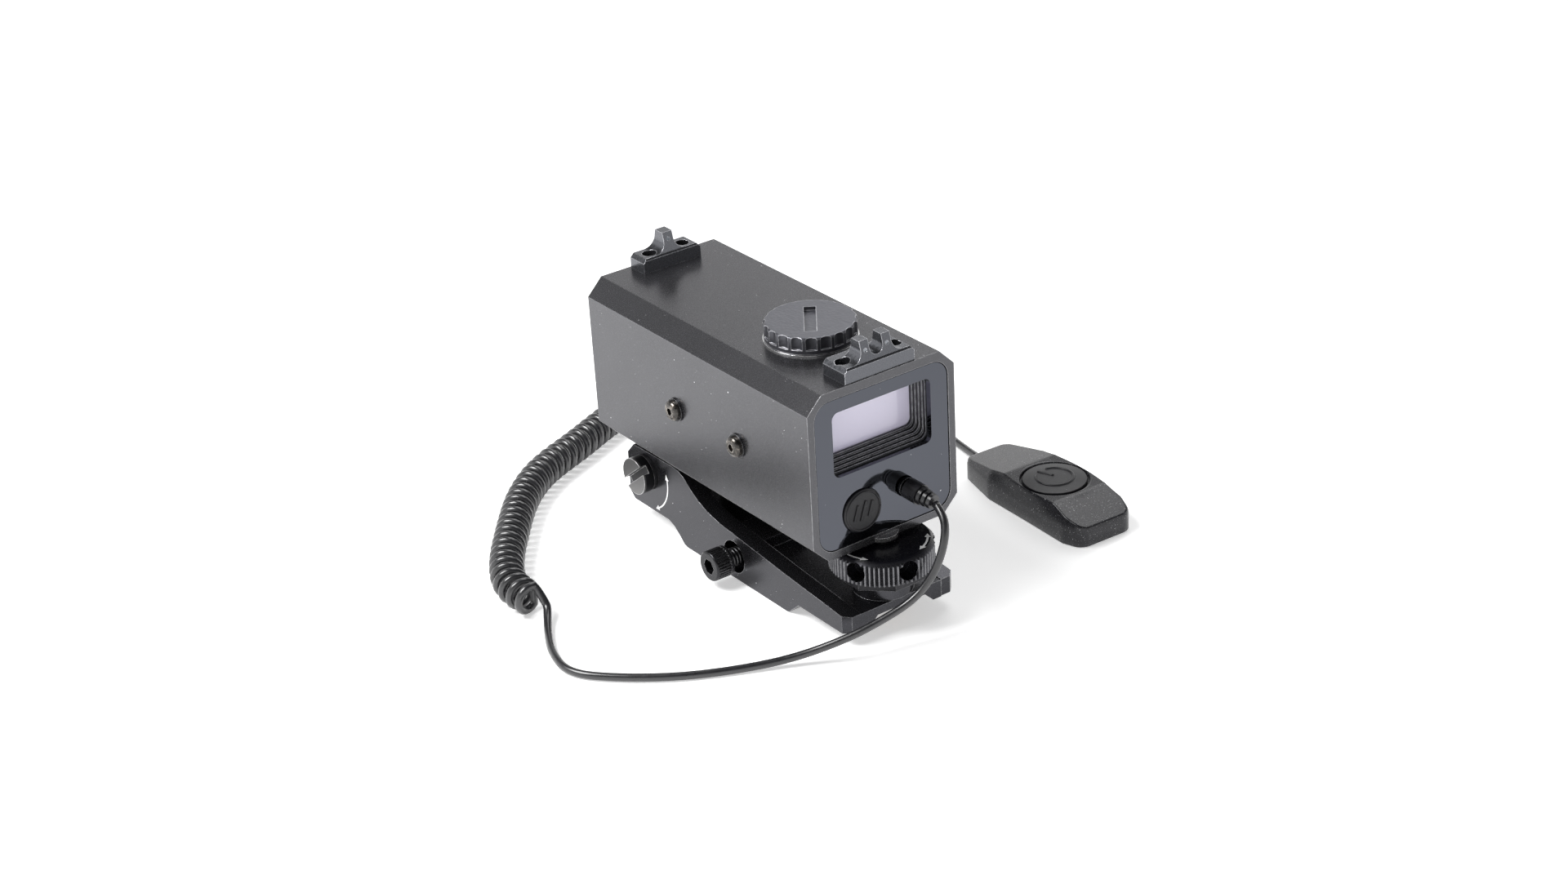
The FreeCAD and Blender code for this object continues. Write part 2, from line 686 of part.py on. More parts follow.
def post_slopes(half, y):
    """Cutters that slope the posts back from the near edge and down at the far side."""
    foot = TOP_Z + SIGHT_H
    top = TOP_Z + SIGHT_POST_H + 0.1
    near = along_x([(y[0] - 1, foot), (y[0] + 0.5, foot), (y[0] + POST_NEAR_RUN, top),
                    (y[0] + POST_NEAR_RUN, top + 1), (y[0] - 1, top + 1)],
                   (-half - 1, half + 1))
    far = along_x([(y[1] + 9, foot), (y[1], foot), (y[1] - POST_FAR_RUN, top),
                   (y[1] - POST_FAR_RUN, top + 1), (y[1] + 9, top + 1)],
                  (-half - 1, half + 1))
    return [near, far]


def shoulder_curve(side, x, half, y):
    """Cutter for the hollow curve from one side of a post out to the shoulder."""
    foot = TOP_Z + SIGHT_H
    middle_z = foot + SHOULDER_R
    lean = SHOULDER_R * math.sqrt(0.5)
    start = V(side * x, y[0] - 1, middle_z)
    through = V(side * (x + SHOULDER_R - lean), y[0] - 1, middle_z - lean)
    end = V(side * (x + SHOULDER_R), y[0] - 1, foot)
    rest = Part.makePolygon([
        end, V(side * (half + 1), y[0] - 1, foot), V(side * (half + 1), y[0] - 1, TOP_Z + 20),
        V(side * x, y[0] - 1, TOP_Z + 20), start,
    ])
    curve = Part.Arc(start, through, end).toShape()
    outline = Part.Wire(Part.__sortEdges__([curve] + rest.Edges))
    return Part.Face(outline).extrude(V(0, y[1] - y[0] + 2, 0))


def sight_screw_holes(places):
    tools = []
    for x, y in places:
        tools.append(rod((x, y, TOP_Z - 1), Z_AXIS, SIGHT_SCREW_R, 5))
        tools.append(rod((x, y, TOP_Z + 1.0), Z_AXIS, SIGHT_HOLE_R, 10))
    return tools


def rear_sight():
    y = (REAR_SIGHT_Y, REAR_SIGHT_Y + SIGHT_L)
    notch_z = TOP_Z + SIGHT_H + 0.9 + NOTCH_R
    tools = [
        rod((0, y[0] - 1, notch_z), Y_AXIS, NOTCH_R, SIGHT_L + 2),
        block((-NOTCH_R, NOTCH_R), (y[0] - 1, y[1] + 1), (notch_z, notch_z + 9)),
    ]
    for side in (-1, 1):
        tools.append(shoulder_curve(side, POST_OUTER, REAR_SIGHT_HALF, y))
    tools += post_slopes(REAR_SIGHT_HALF, (y[0], y[0] + POST_L))
    tools += sight_screw_holes(sight_screw_places()[:2])
    for x in (-FIBRE_X, FIBRE_X):
        tools.append(rod((x, y[0] - 1, FIBRE_Z), Y_AXIS, FIBRE_R, SIGHT_L))
    return cut_by(sight_blank(REAR_SIGHT_HALF, y), tools)


def front_sight():
    y = (FRONT_SIGHT_Y, FRONT_SIGHT_Y + FRONT_SIGHT_L)
    tools = []
    for side in (-1, 1):
        tools.append(shoulder_curve(side, FRONT_POST_HALF, FRONT_SIGHT_HALF, y))
    tools += post_slopes(FRONT_SIGHT_HALF, y)
    tools += sight_screw_holes(sight_screw_places()[2:])
    tools.append(rod((0, y[0] - 1, FIBRE_Z + 0.6), Y_AXIS, FIBRE_R, SIGHT_L))
    return cut_by(sight_blank(FRONT_SIGHT_HALF, y), tools)


def sight_fibres():
    """Light-gathering rods in the three posts."""
    start = 1.35
    rear = [rod((x, REAR_SIGHT_Y + start, FIBRE_Z), Y_AXIS, FIBRE_R, 3.7)
            for x in (-FIBRE_X, FIBRE_X)]
    front = rod((0, FRONT_SIGHT_Y + start, FIBRE_Z + 0.6), Y_AXIS, FIBRE_R, 3.6)
    return Part.makeCompound(rear + [front])


def sight_screws():
    """Four small screws, one in each deep hole of the two sights."""
    solids = []
    for x, y in sight_screw_places():
        head = rod((x, y, TOP_Z + 1.0), Z_AXIS, SIGHT_HOLE_R, SIGHT_SCREW_HEAD_H)
        shank = rod((x, y, TOP_Z - 2.4), Z_AXIS, SIGHT_SCREW_R, 3.4)
        socket = polygon_prism((x, y), 1.3, 6, (TOP_Z + 1.4, TOP_Z + 3.0))
        solids.append(joined([head, shank]).cut(socket))
    return Part.makeCompound(solids)


def side_screws():
    solids = []
    for side in (-1, 1):
        seat = side * (HOUSING_W / 2 + SIDE_WASHER_T)
        for y in SIDE_SCREW_Y:
            outer = seat + side * SIDE_HEAD_H
            head = rod((min(seat, outer), y, SIDE_SCREW_Z), X_AXIS, SIDE_HEAD_R, SIDE_HEAD_H)
            head = round_edges_at(head, 1.2, lambda e, o=outer: abs(e.BoundBox.Center.x - o) < 0.1
                                  and len(e.Vertexes) == 1)
            inner = side * (HOUSING_W / 2 - SIDE_SCREW_L)
            shank = rod((min(inner, seat), y, SIDE_SCREW_Z), X_AXIS, M3_R, abs(seat - inner))
            socket_x = sorted((outer - side * 1.1, outer + side))
            socket = hexagon_along_x(socket_x, y, SIDE_SCREW_Z, 2.0)
            solids.append(joined([head, shank]).cut(socket))
    return Part.makeCompound(solids)


def side_washers():
    solids = []
    for x in (-HOUSING_W / 2 - SIDE_WASHER_T, HOUSING_W / 2):
        for y in SIDE_SCREW_Y:
            solids.append(ring((x, y, SIDE_SCREW_Z), X_AXIS, SIDE_WASHER_R, M3_R, SIDE_WASHER_T))
    return Part.makeCompound(solids)


# ---- bracket, trunnion and windage --------------------------------------------------
BRACKET_LOW = HOUSING_Z - BRACKET_T
SCREW_HEAD_T = 1.6


def bracket():
    """Plate under the housing, with two lugs that turn on the trunnion barrel."""
    plate = block((-BRACKET_HALF, BRACKET_HALF), (BRACKET_NEAR_Y, BRACKET_FAR_Y),
                  (BRACKET_LOW, HOUSING_Z))
    solids = [plate]
    for side in (-1, 1):
        x = sorted((side * BARREL_HALF, side * (BARREL_HALF - LUG_T)))
        solids.append(rod((x[0], PIVOT_Y, PIVOT_Z), X_AXIS, LUG_R, LUG_T))
        solids.append(block(x, (ANCHOR_PIN_Y - 2.0, PIVOT_Y + LUG_R), (PIVOT_Z, BRACKET_LOW)))
    solid = joined(solids)
    tools = [rod((-BARREL_HALF - 1, PIVOT_Y, PIVOT_Z), X_AXIS, BARREL_R + RUNNING_GAP,
                 2 * BARREL_HALF + 2),
             rod((-BARREL_HALF - 1, ANCHOR_PIN_Y, ANCHOR_PIN_Z), X_AXIS, ANCHOR_PIN_R,
                 2 * BARREL_HALF + 2),
             rod((-BARREL_HALF + LUG_T, PIVOT_Y, PIVOT_Z), X_AXIS, SPRING_ROOM_R,
                 2 * (BARREL_HALF - LUG_T))]
    for x, y in BRACKET_SCREWS:
        tools.append(rod((x, y, BRACKET_LOW - 1), Z_AXIS, M3_R, BRACKET_T + 2))
        tools.append(rod((x, y, BRACKET_LOW - 1), Z_AXIS, 2.75, 1 + SCREW_HEAD_T))
    return cut_by(solid, tools)


def bracket_screws():
    solids = []
    for x, y in BRACKET_SCREWS:
        head = rod((x, y, BRACKET_LOW), Z_AXIS, 2.7, SCREW_HEAD_T)
        shank = rod((x, y, BRACKET_LOW + SCREW_HEAD_T), Z_AXIS, M3_R,
                    BORE_LOW - BRACKET_LOW - SCREW_HEAD_T)
        socket = polygon_prism((x, y), 2.0, 6, (BRACKET_LOW - 1, BRACKET_LOW + 1.0))
        solids.append(joined([head, shank]).cut(socket))
    return Part.makeCompound(solids)


def spring_anchor_pin():
    return rod((-BARREL_HALF, ANCHOR_PIN_Y, ANCHOR_PIN_Z), X_AXIS, ANCHOR_PIN_R,
               2 * BARREL_HALF)


def preload_spring():
    """Torsion spring round the barrel, pressing the anchor pin and the floor down."""
    inner = BARREL_R + 0.1
    gap_half = BARREL_HALF - LUG_T - 0.2
    outer = inner + 2 * SPRING_WIRE_R
    coil = ring((-gap_half, PIVOT_Y, PIVOT_Z), X_AXIS, outer, inner, 2 * gap_half)
    wire = SPRING_WIRE_R
    leg_z = ANCHOR_PIN_Z + ANCHOR_PIN_R + wire
    near_leg = rod((gap_half - 2 * wire, ANCHOR_PIN_Y - 1.0, leg_z), Y_AXIS, wire,
                   PIVOT_Y - ANCHOR_PIN_Y + 1.0 - inner * 0.84)
    foot_z = CHANNEL_FLOOR + wire + 0.5
    far_leg = rod((-gap_half + 2 * wire, PIVOT_Y + outer - wire, foot_z), Z_AXIS, wire,
                  PIVOT_Z - foot_z)
    return joined([coil, near_leg, far_leg])


def trunnion_barrel():
    """Threaded barrel that the windage screw moves from ear to ear."""
    return ring((-BARREL_HALF - 1.0, PIVOT_Y, PIVOT_Z), X_AXIS, BARREL_R,
                WINDAGE_R + 2 * RUNNING_GAP, 2 * BARREL_HALF + 2.0)


HEAD_SEAT_X = -BASE_HALF - FRICTION_WASHER_T - RUNNING_GAP
COLLAR_X = BASE_HALF + EASY_GAP
COLLAR_T = 1.0
WINDAGE_TIP_X = COLLAR_X + COLLAR_T + 0.6


def windage_screw():
    shank = rod((HEAD_SEAT_X, PIVOT_Y, PIVOT_Z), X_AXIS, WINDAGE_R,
                WINDAGE_TIP_X - HEAD_SEAT_X)
    head = rod((HEAD_SEAT_X - WINDAGE_HEAD_H, PIVOT_Y, PIVOT_Z), X_AXIS, WINDAGE_HEAD_R,
               WINDAGE_HEAD_H)
    face = HEAD_SEAT_X - WINDAGE_HEAD_H
    slot = block((face - 1, face + WINDAGE_SLOT_D), (-9, 9),
                 (-WINDAGE_SLOT_W / 2, WINDAGE_SLOT_W / 2))
    slot.rotate(V(0, 0, 0), X_AXIS, WINDAGE_SLOT_TURN)
    slot.translate(V(0, PIVOT_Y, PIVOT_Z))
    groove = ring((COLLAR_X, PIVOT_Y, PIVOT_Z), X_AXIS, WINDAGE_R + 1, WINDAGE_R - 0.5,
                  COLLAR_T)
    return cut_by(joined([head, shank]), [slot, groove])


def windage_clip():
    """Retaining clip in the screw's groove, outside the far ear."""
    full = ring((COLLAR_X, PIVOT_Y, PIVOT_Z), X_AXIS, 5.2, WINDAGE_R - 0.5, COLLAR_T)
    mouth = block((COLLAR_X - 1, COLLAR_X + 2), (PIVOT_Y - 2.0, PIVOT_Y + 2.0),
                  (PIVOT_Z - 8, PIVOT_Z))
    return full.cut(mouth)


def friction_washer():
    """Fibre washer that holds the windage screw where it is put."""
    return ring((-BASE_HALF - FRICTION_WASHER_T, PIVOT_Y, PIVOT_Z), X_AXIS,
                WINDAGE_HEAD_R - 0.3, WINDAGE_R + RUNNING_GAP, FRICTION_WASHER_T)


# ---- base ---------------------------------------------------------------------------
def wall_outline(with_jaw):
    """The side wall's outline in (y, z): a ramp that rises to an ear."""
    low = JAW_Z if with_jaw else SKIRT_Z
    top = [
        (BASE_NEAR_Y, 2.5), (-38.8, 3.5), (-23.0, 4.9), (-8.6, 6.4), (6.2, 8.0),
        (11.8, 9.2), (15.4, 10.7), (19.1, 13.0), (21.8, 15.2), (24.6, 16.5), (27.4, 16.8),
        (46.4, 16.4), (BASE_FAR_Y - 0.2, 13.0), (BASE_FAR_Y, 0.7),
        (BASE_FAR_Y - 2.2, EAR_SKIRT_Z),
    ]
    bottom = [
        (31.0, EAR_SKIRT_Z), (28.4, -2.2), (26.2, -3.9), (JAW_FAR_Y, low + 0.4),
        (JAW_FAR_Y - 1.4, low), (JAW_NEAR_Y + 0.6, low), (JAW_NEAR_Y - 0.4, low + 0.3),
        (-28.6, SKIRT_Z), (BASE_NEAR_Y, SKIRT_Z),
    ]
    return top + bottom


def rail_groove(y):
    """The space that the rail's head fills."""
    widest = -RAIL_SLOPE - RAIL_FLAT
    low = JAW_Z - 1
    inner = RAIL_HALF - (widest - low)
    half = RAIL_HALF + EASY_GAP
    points = [(-RAIL_TOP_HALF, 0), (RAIL_TOP_HALF, 0), (half, -RAIL_SLOPE), (half, widest),
              (inner, low), (-inner, low), (-half, widest), (-half, -RAIL_SLOPE)]
    return along_y(points, y)


def base():
    wall = along_x(wall_outline(True), (-BASE_HALF, -CHANNEL_HALF))
    ear = along_x(wall_outline(True), (CHANNEL_HALF, BASE_HALF))
    ear = ear.cut(block((CHANNEL_HALF - 1, BASE_HALF + 1), (BASE_NEAR_Y - 1, EAR_NEAR_Y),
                        (JAW_Z - 1, 30)))
    floor = block((-CHANNEL_HALF, CHANNEL_HALF), (BASE_NEAR_Y, BASE_FAR_Y - 1.0),
                  (SEAT_LIP_Z, CHANNEL_FLOOR))
    fixed_jaw = along_x([(JAW_NEAR_Y - 0.4, JAW_Z + 0.3), (JAW_NEAR_Y + 0.6, JAW_Z),
                         (JAW_FAR_Y - 1.4, JAW_Z), (JAW_FAR_Y, JAW_Z + 0.4),
                         (JAW_FAR_Y, SEAT_LIP_Z), (JAW_NEAR_Y - 2.0, SEAT_LIP_Z)],
                        (-CHANNEL_HALF, -RAIL_TOP_HALF))
    rib = block((-CHANNEL_HALF, CHANNEL_HALF), (-CLAMP_RIB_HALF, CLAMP_RIB_HALF),
                (CHANNEL_FLOOR, CLAMP_RIB_Z))
    boss = rod((0, WHEEL_Y, CHANNEL_FLOOR), Z_AXIS, BOSS_R, BOSS_Z - CHANNEL_FLOOR)
    solid = joined([wall, ear, floor, fixed_jaw, rib, boss])
    tools = [rail_groove((BASE_NEAR_Y - 1, BASE_FAR_Y + 1))]
    across = 2 * BASE_HALF
    tools.append(rod((-BASE_HALF - 1, 0, CLAMP_Z), X_AXIS, CLAMP_R + 0.25, across + 2))
    tools.append(rod((-BASE_HALF - 1, 0, CLAMP_Z), X_AXIS, CLAMP_BORE_R,
                     1 + BASE_HALF + CLAMP_SEAT_X))
    tools.append(rod((-BASE_HALF - 1, PIVOT_Y, PIVOT_Z), X_AXIS, WINDAGE_R + RUNNING_GAP,
                     across + 2))
    tools.append(rod((0, WHEEL_Y, -1), Z_AXIS, BUSH_R, BOSS_Z + 3))
    for y in (-GUIDE_PIN_Y, GUIDE_PIN_Y):
        tools.append(rod((GUIDE_PIN_X[0], y, GUIDE_PIN_Z), X_AXIS, GUIDE_PIN_R, 20))
    tools.append(corner_cutter(-1))
    return cut_by(solid, tools)


def corner_cutter(side):
    """Cuts the chamfer on a vertical edge of the base's near end."""
    x = side * BASE_HALF
    y = BASE_NEAR_Y
    reach = BASE_CORNER + 1
    corners = [V(x - side * reach, y - 1, -20), V(x + side, y + reach, -20),
               V(x + side, y - 1, -20)]
    return Part.Face(Part.makePolygon(corners + corners[:1])).extrude(V(0, 0, 60))


def elevation_bush():
    """Threaded bronze bush pressed into the base, which the jack screw climbs in."""
    return ring((0, WHEEL_Y, 0.3), Z_AXIS, BUSH_R, JACK_SCREW_R + RUNNING_GAP, BOSS_Z - 0.3)


def jaw_guide_pins():
    """Two pins pressed into the base, which keep the clamp jaw square."""
    return Part.makeCompound([
        rod((GUIDE_PIN_X[0], y, GUIDE_PIN_Z), X_AXIS, GUIDE_PIN_R,
            GUIDE_PIN_X[1] - GUIDE_PIN_X[0]) for y in (-GUIDE_PIN_Y, GUIDE_PIN_Y)])


def clamp_jaw():
    """Sliding jaw: the base's other side wall, hooked under the rail."""
    bar = along_x(wall_outline(True), (CHANNEL_HALF + RUNNING_GAP, BASE_HALF))
    bar = bar.cut(block((0, 30), (CLAMP_JAW_FAR_Y, 90), (-20, 40)))
    hook_high = SEAT_LIP_Z - EASY_GAP
    hook = along_x([(JAW_NEAR_Y - 0.4, JAW_Z + 0.3), (JAW_NEAR_Y + 0.6, JAW_Z),
                    (JAW_FAR_Y - 1.4, JAW_Z), (JAW_FAR_Y, JAW_Z + 0.4),
                    (JAW_FAR_Y, hook_high), (JAW_NEAR_Y - 1.8, hook_high)],
                   (RAIL_TOP_HALF - 0.6, CHANNEL_HALF + 1))
    solid = joined([bar, hook])
    tools = [rail_groove((BASE_NEAR_Y - 1, BASE_FAR_Y + 1)), corner_cutter(1)]
    tools.append(rod((0, 0, CLAMP_Z), X_AXIS, CLAMP_R + RUNNING_GAP, 2 * BASE_HALF))
    for y in (-GUIDE_PIN_Y, GUIDE_PIN_Y):
        tools.append(rod((0, y, GUIDE_PIN_Z), X_AXIS, GUIDE_PIN_R + RUNNING_GAP, 30))
    return cut_by(solid, tools)


CLAMP_UNDER_X = -BASE_HALF - CLAMP_STANDS_OUT


def clamp_screw():
    head = rod((CLAMP_UNDER_X - CLAMP_HEAD_H, 0, CLAMP_Z), X_AXIS, CLAMP_HEAD_R, CLAMP_HEAD_H)
    face = CLAMP_UNDER_X - CLAMP_HEAD_H
    head = round_edges_at(head, 0.5, lambda e: abs(e.BoundBox.Center.x - face) < 0.1
                          and len(e.Vertexes) == 1)
    shank = rod((CLAMP_UNDER_X, 0, CLAMP_Z), X_AXIS, CLAMP_R, CLAMP_L)
    tools = [hexagon_along_x((face - 1, face + 2.5), 0, CLAMP_Z, CLAMP_HEX_AF)]
    for k in range(CLAMP_KNURLS):
        turn = math.tau * k / CLAMP_KNURLS
        y = CLAMP_HEAD_R * math.cos(turn)
        z = CLAMP_Z + CLAMP_HEAD_R * math.sin(turn)
        groove = block((face + 0.6, CLAMP_UNDER_X - 0.4), (-0.2, 0.2), (-0.2, 0.2))
        groove.rotate(V(0, 0, 0), X_AXIS, 45 + math.degrees(turn))
        groove.translate(V(0, y, z))
        tools.append(groove)
    return cut_by(joined([head, shank]), tools)


def clamp_washer():
    return ring((CLAMP_UNDER_X + 0.02, 0, CLAMP_Z), X_AXIS, CLAMP_HEAD_R - 0.1,
                CLAMP_R + RUNNING_GAP, CLAMP_WASHER_T)


# ---- elevation wheel ----------------------------------------------------------------
def elevation_wheel():
    straight = rod((0, WHEEL_Y, WHEEL_LOW), Z_AXIS, WHEEL_R,
                   WHEEL_HIGH - WHEEL_LOW - WHEEL_CHAMFER_H)
    cone = Part.makeCone(WHEEL_R, WHEEL_TOP_R, WHEEL_CHAMFER_H,
                         V(0, WHEEL_Y, WHEEL_HIGH - WHEEL_CHAMFER_H), Z_AXIS)
    solid = joined([straight, cone])
    tools = []
    for k in range(WHEEL_RIDGES):
        turn = math.tau * k / WHEEL_RIDGES
        groove = block((-0.36, 0.36), (-0.36, 0.36), (WHEEL_LOW - 1, WHEEL_HIGH + 1))
        groove.rotate(V(0, 0, 0), Z_AXIS, 45 + math.degrees(turn))
        groove.translate(V(WHEEL_R * math.cos(turn), WHEEL_Y + WHEEL_R * math.sin(turn), 0))
        tools.append(groove)
    middle = (WHEEL_LOW + WHEEL_HIGH) / 2
    for k in range(WHEEL_HOLES):
        turn = math.radians(WHEEL_HOLE_ANGLE + 360 * k / WHEEL_HOLES)
        outward = V(math.cos(turn), math.sin(turn), 0)
        inner = outward * (WHEEL_R - WHEEL_HOLE_DEPTH)
        tools.append(Part.makeCylinder(WHEEL_HOLE_R, WHEEL_HOLE_DEPTH + 1,
                                       V(inner.x, WHEEL_Y + inner.y, middle), outward))
    tools.append(rod((0, WHEEL_Y, WHEEL_LOW - 1), Z_AXIS, JACK_SCREW_R,
                     JACK_SCREW_HIGH - WHEEL_LOW + 1))
    tools.append(rod((0, WHEEL_Y, JACK_SCREW_HIGH - 0.01), Z_AXIS,
                     THRUST_PIN_R + RUNNING_GAP, 10))
    return cut_by(solid, tools)


def jack_screw():
    """Screw under the wheel, with an eight-sided hub for a spanner."""
    hub = polygon_prism((0, WHEEL_Y), HUB_AF, 8, (HUB_LOW, WHEEL_LOW))
    screw = rod((0, WHEEL_Y, JACK_SCREW_LOW), Z_AXIS, JACK_SCREW_R,
                JACK_SCREW_HIGH - JACK_SCREW_LOW)
    return joined([screw, hub])


def thrust_pin():
    """Domed steel pin that carries the housing and does not turn with the wheel."""
    top = HOUSING_Z - RUNNING_GAP
    dome_h = 0.5
    low = JACK_SCREW_HIGH + EASY_GAP
    sphere_r = (THRUST_PIN_R ** 2 + dome_h ** 2) / (2 * dome_h)
    body = rod((0, WHEEL_Y, low), Z_AXIS, THRUST_PIN_R, top - low)
    return body.common(Part.makeSphere(sphere_r, V(0, WHEEL_Y, top - sphere_r)))


# ---- remote lead --------------------------------------------------------------------
PLUG_START = V(JACK_X, JACK_NOSE_Y - 0.05, JACK_Z)


def plug_tip():
    return rod((PLUG_START.x, PLUG_START.y, PLUG_START.z), Y_AXIS, PLUG_TIP_R, PLUG_TIP_L)


def plug_boot():
    """Rubber grip and ringed strain relief, leaning a little as the lead pulls it."""
    along = V(BOOT_TO).normalize()
    face = V(PLUG_START) + along * (BOOT_R * 0.13)
    grip = Part.makeCylinder(BOOT_R, BOOT_GRIP_L, face, along)
    grip = grip.cut(block((0, 20), (PLUG_START.y, PLUG_START.y + 5), (20, 40)))
    core = Part.makeCylinder(BOOT_CORE_R, BOOT_L - BOOT_R * 0.13, face, along)
    solids = [grip, core]
    pitch = (BOOT_L - BOOT_GRIP_L) / BOOT_RINGS
    for k in range(BOOT_RINGS):
        radius = BOOT_RING_R - 0.22 * k
        start = face + along * (BOOT_GRIP_L + pitch * k + 0.35)
        solids.append(Part.makeCone(radius, radius - 0.15, pitch - 0.6, start, along))
    return joined(solids)


def routed_tube(name, route, radius):
    """A tube along straight runs joined by tangent arcs, which share the corners."""
    points = [V(*p) for p in route]
    edges = []
    at = points[0]
    length = 0.0
    smallest = 1e9
    for before, corner, after in zip(points, points[1:], points[2:]):
        come = corner - before
        leave = after - corner
        half_turn = come.getAngle(leave) / 2
        setback = 0.45 * min(come.Length, leave.Length)
        bend = setback / math.tan(half_turn)
        come.normalize()
        leave.normalize()
        start = corner - come * setback
        end = corner + leave * setback
        inward = (leave - come).normalize()
        middle = corner + inward * (bend / math.cos(half_turn) - bend)
        edges.append(Part.makeLine(at, start))
        edges.append(Part.Arc(start, middle, end).toShape())
        length += (start - at).Length + bend * half_turn * 2
        smallest = min(smallest, bend)
        at = end
    edges.append(Part.makeLine(at, points[-1]))
    length += (points[-1] - at).Length
    section = Part.Wire(Part.makeCircle(radius, points[0], points[1] - points[0]))
    tube = Part.Wire(edges).makePipeShell([section], True, False)
    expected = math.pi * radius ** 2 * length
    print(name, "length", round(length, 1), "tightest radius", round(smallest, 1),
          "volume over section times length", round(tube.Volume / expected, 4))
    return tube


def cord_lead_front():
    return routed_tube("front lead", FRONT_ROUTE, CORD_R)


def cord_coil():
    return routed_tube("curly part", COIL_ROUTE, COIL_R)


def cord_lead_back():
    return routed_tube("back lead", BACK_ROUTE, CORD_R)


# ---- remote switch ------------------------------------------------------------------
def in_place(shape):
    """Moves a piece of the remote switch from its own centre to where it lies."""
    shape.rotate(V(0, 0, 0), Z_AXIS, PAD_TURN)
    shape.translate(PAD_CENTRE)
    return shape


def pad_plan(shrink, z):
    """Prism on the pad's plan: parallel in the middle and narrower at both ends."""
    side = [(half - shrink, y) for y, half in PAD_WAIST]
    side[0] = (side[0][0], side[0][1] + shrink)
    side[-1] = (side[-1][0], side[-1][1] - shrink)
    corners = [V(x, y, z[0]) for x, y in side]
    corners += [V(-x, y, z[0]) for x, y in reversed(side)]
    solid = Part.Face(Part.makePolygon(corners + corners[:1])).extrude(V(0, 0, z[1] - z[0]))
    ends = [e for e in solid.Edges if abs(e.tangentAt(e.FirstParameter).z) > 0.99
            and abs(e.CenterOfMass.y) > PAD_HALF_L - shrink - 1]
    return solid.makeFillet(2.5, ends)


def remote_shell():
    """Plastic shell with a domed back, open underneath and round its button."""
    plan = pad_plan(0, (0, PAD_TOP_H + 1))
    side = [(PAD_HALF_W + 1, 0), (PAD_HALF_W + 1, PAD_WALL_H - 0.9),
            (PAD_HALF_W, PAD_WALL_H), (PAD_HALF_W - 1.3, PAD_WALL_H + 2.1),
            (PAD_HALF_W - 3.2, PAD_WALL_H + 3.4), (PAD_HALF_W - 6.6, PAD_TOP_H - 0.2)]
    section = side + [(0, PAD_TOP_H)] + [(-x, z) for x, z in reversed(side)]
    dome = along_y(section, (-PAD_HALF_L - 1, PAD_HALF_L + 1))
    crown = rod((-PAD_HALF_W - 1, PAD_BUTTON_Y, PAD_TOP_H - PAD_CROWN_R), X_AXIS,
                PAD_CROWN_R, 2 * PAD_HALF_W + 2)
    solid = plan.common(dome).common(crown)
    tools = [pad_plan(PAD_WALL_T, (-1, PAD_PLATE_T)),
             block((-8.0, 8.0), (-17.0, 14.0), (PAD_PLATE_T - 0.5, PAD_ROOM_TOP - 1.0)),
             rod((0, PAD_BUTTON_Y, PAD_PLATE_T - 0.5), Z_AXIS, PAD_ROOM_R,
                 PAD_ROOM_TOP - PAD_PLATE_T + 0.5),
             rod((0, PAD_BUTTON_Y, PAD_PLATE_T), Z_AXIS, PAD_BUTTON_R + RUNNING_GAP, 20)]
    return in_place(cut_by(solid, tools))


def remote_plate():
    return in_place(pad_plan(PAD_WALL_T + 0.05, (0, PAD_PLATE_T)))


def remote_button():
    top = PAD_BUTTON_TOP
    sphere_r = (PAD_BUTTON_R ** 2 + PAD_BUTTON_CROWN ** 2) / (2 * PAD_BUTTON_CROWN)
    cap = rod((0, PAD_BUTTON_Y, PAD_FLANGE_Z[1]), Z_AXIS, PAD_BUTTON_R,
              top - PAD_FLANGE_Z[1])
    cap = cap.common(Part.makeSphere(sphere_r, V(0, PAD_BUTTON_Y, top - sphere_r)))
    flange = rod((0, PAD_BUTTON_Y, PAD_FLANGE_Z[0]), Z_AXIS, PAD_FLANGE_R,
                 PAD_FLANGE_Z[1] - PAD_FLANGE_Z[0])
    low = REMOTE_SWITCH_TOP + PAD_TRAVEL + EASY_GAP
    stem = rod((0, PAD_BUTTON_Y, low), Z_AXIS, 2.0, PAD_FLANGE_Z[0] - low)
    return in_place(joined([cap, flange, stem]))


REMOTE_SWITCH_TOP = PAD_PLATE_T + 1.0 + 0.6


def remote_switch():
    """Small circuit board with the switch that the button presses."""
    board = block((-7.0, 7.0), (-15.0, 12.0), (PAD_PLATE_T, PAD_PLATE_T + 1.0))
    dome = rod((0, PAD_BUTTON_Y, PAD_PLATE_T + 1.0), Z_AXIS, 2.5,
               REMOTE_SWITCH_TOP - PAD_PLATE_T - 1.0)
    return in_place(joined([board, dome]))


def remote_strain_relief():
    """Ringed nub where the lead leaves the far end of the pad."""
    z = CORD_R + 1.0
    solids = [rod((0, PAD_HALF_L, z), Y_AXIS, 1.5, RELIEF_L)]
    for k in range(2):
        solids.append(rod((0, PAD_HALF_L + 0.3 + 1.4 * k, z), Y_AXIS, RELIEF_R - 0.2 * k, 0.9))
    return in_place(joined(solids))


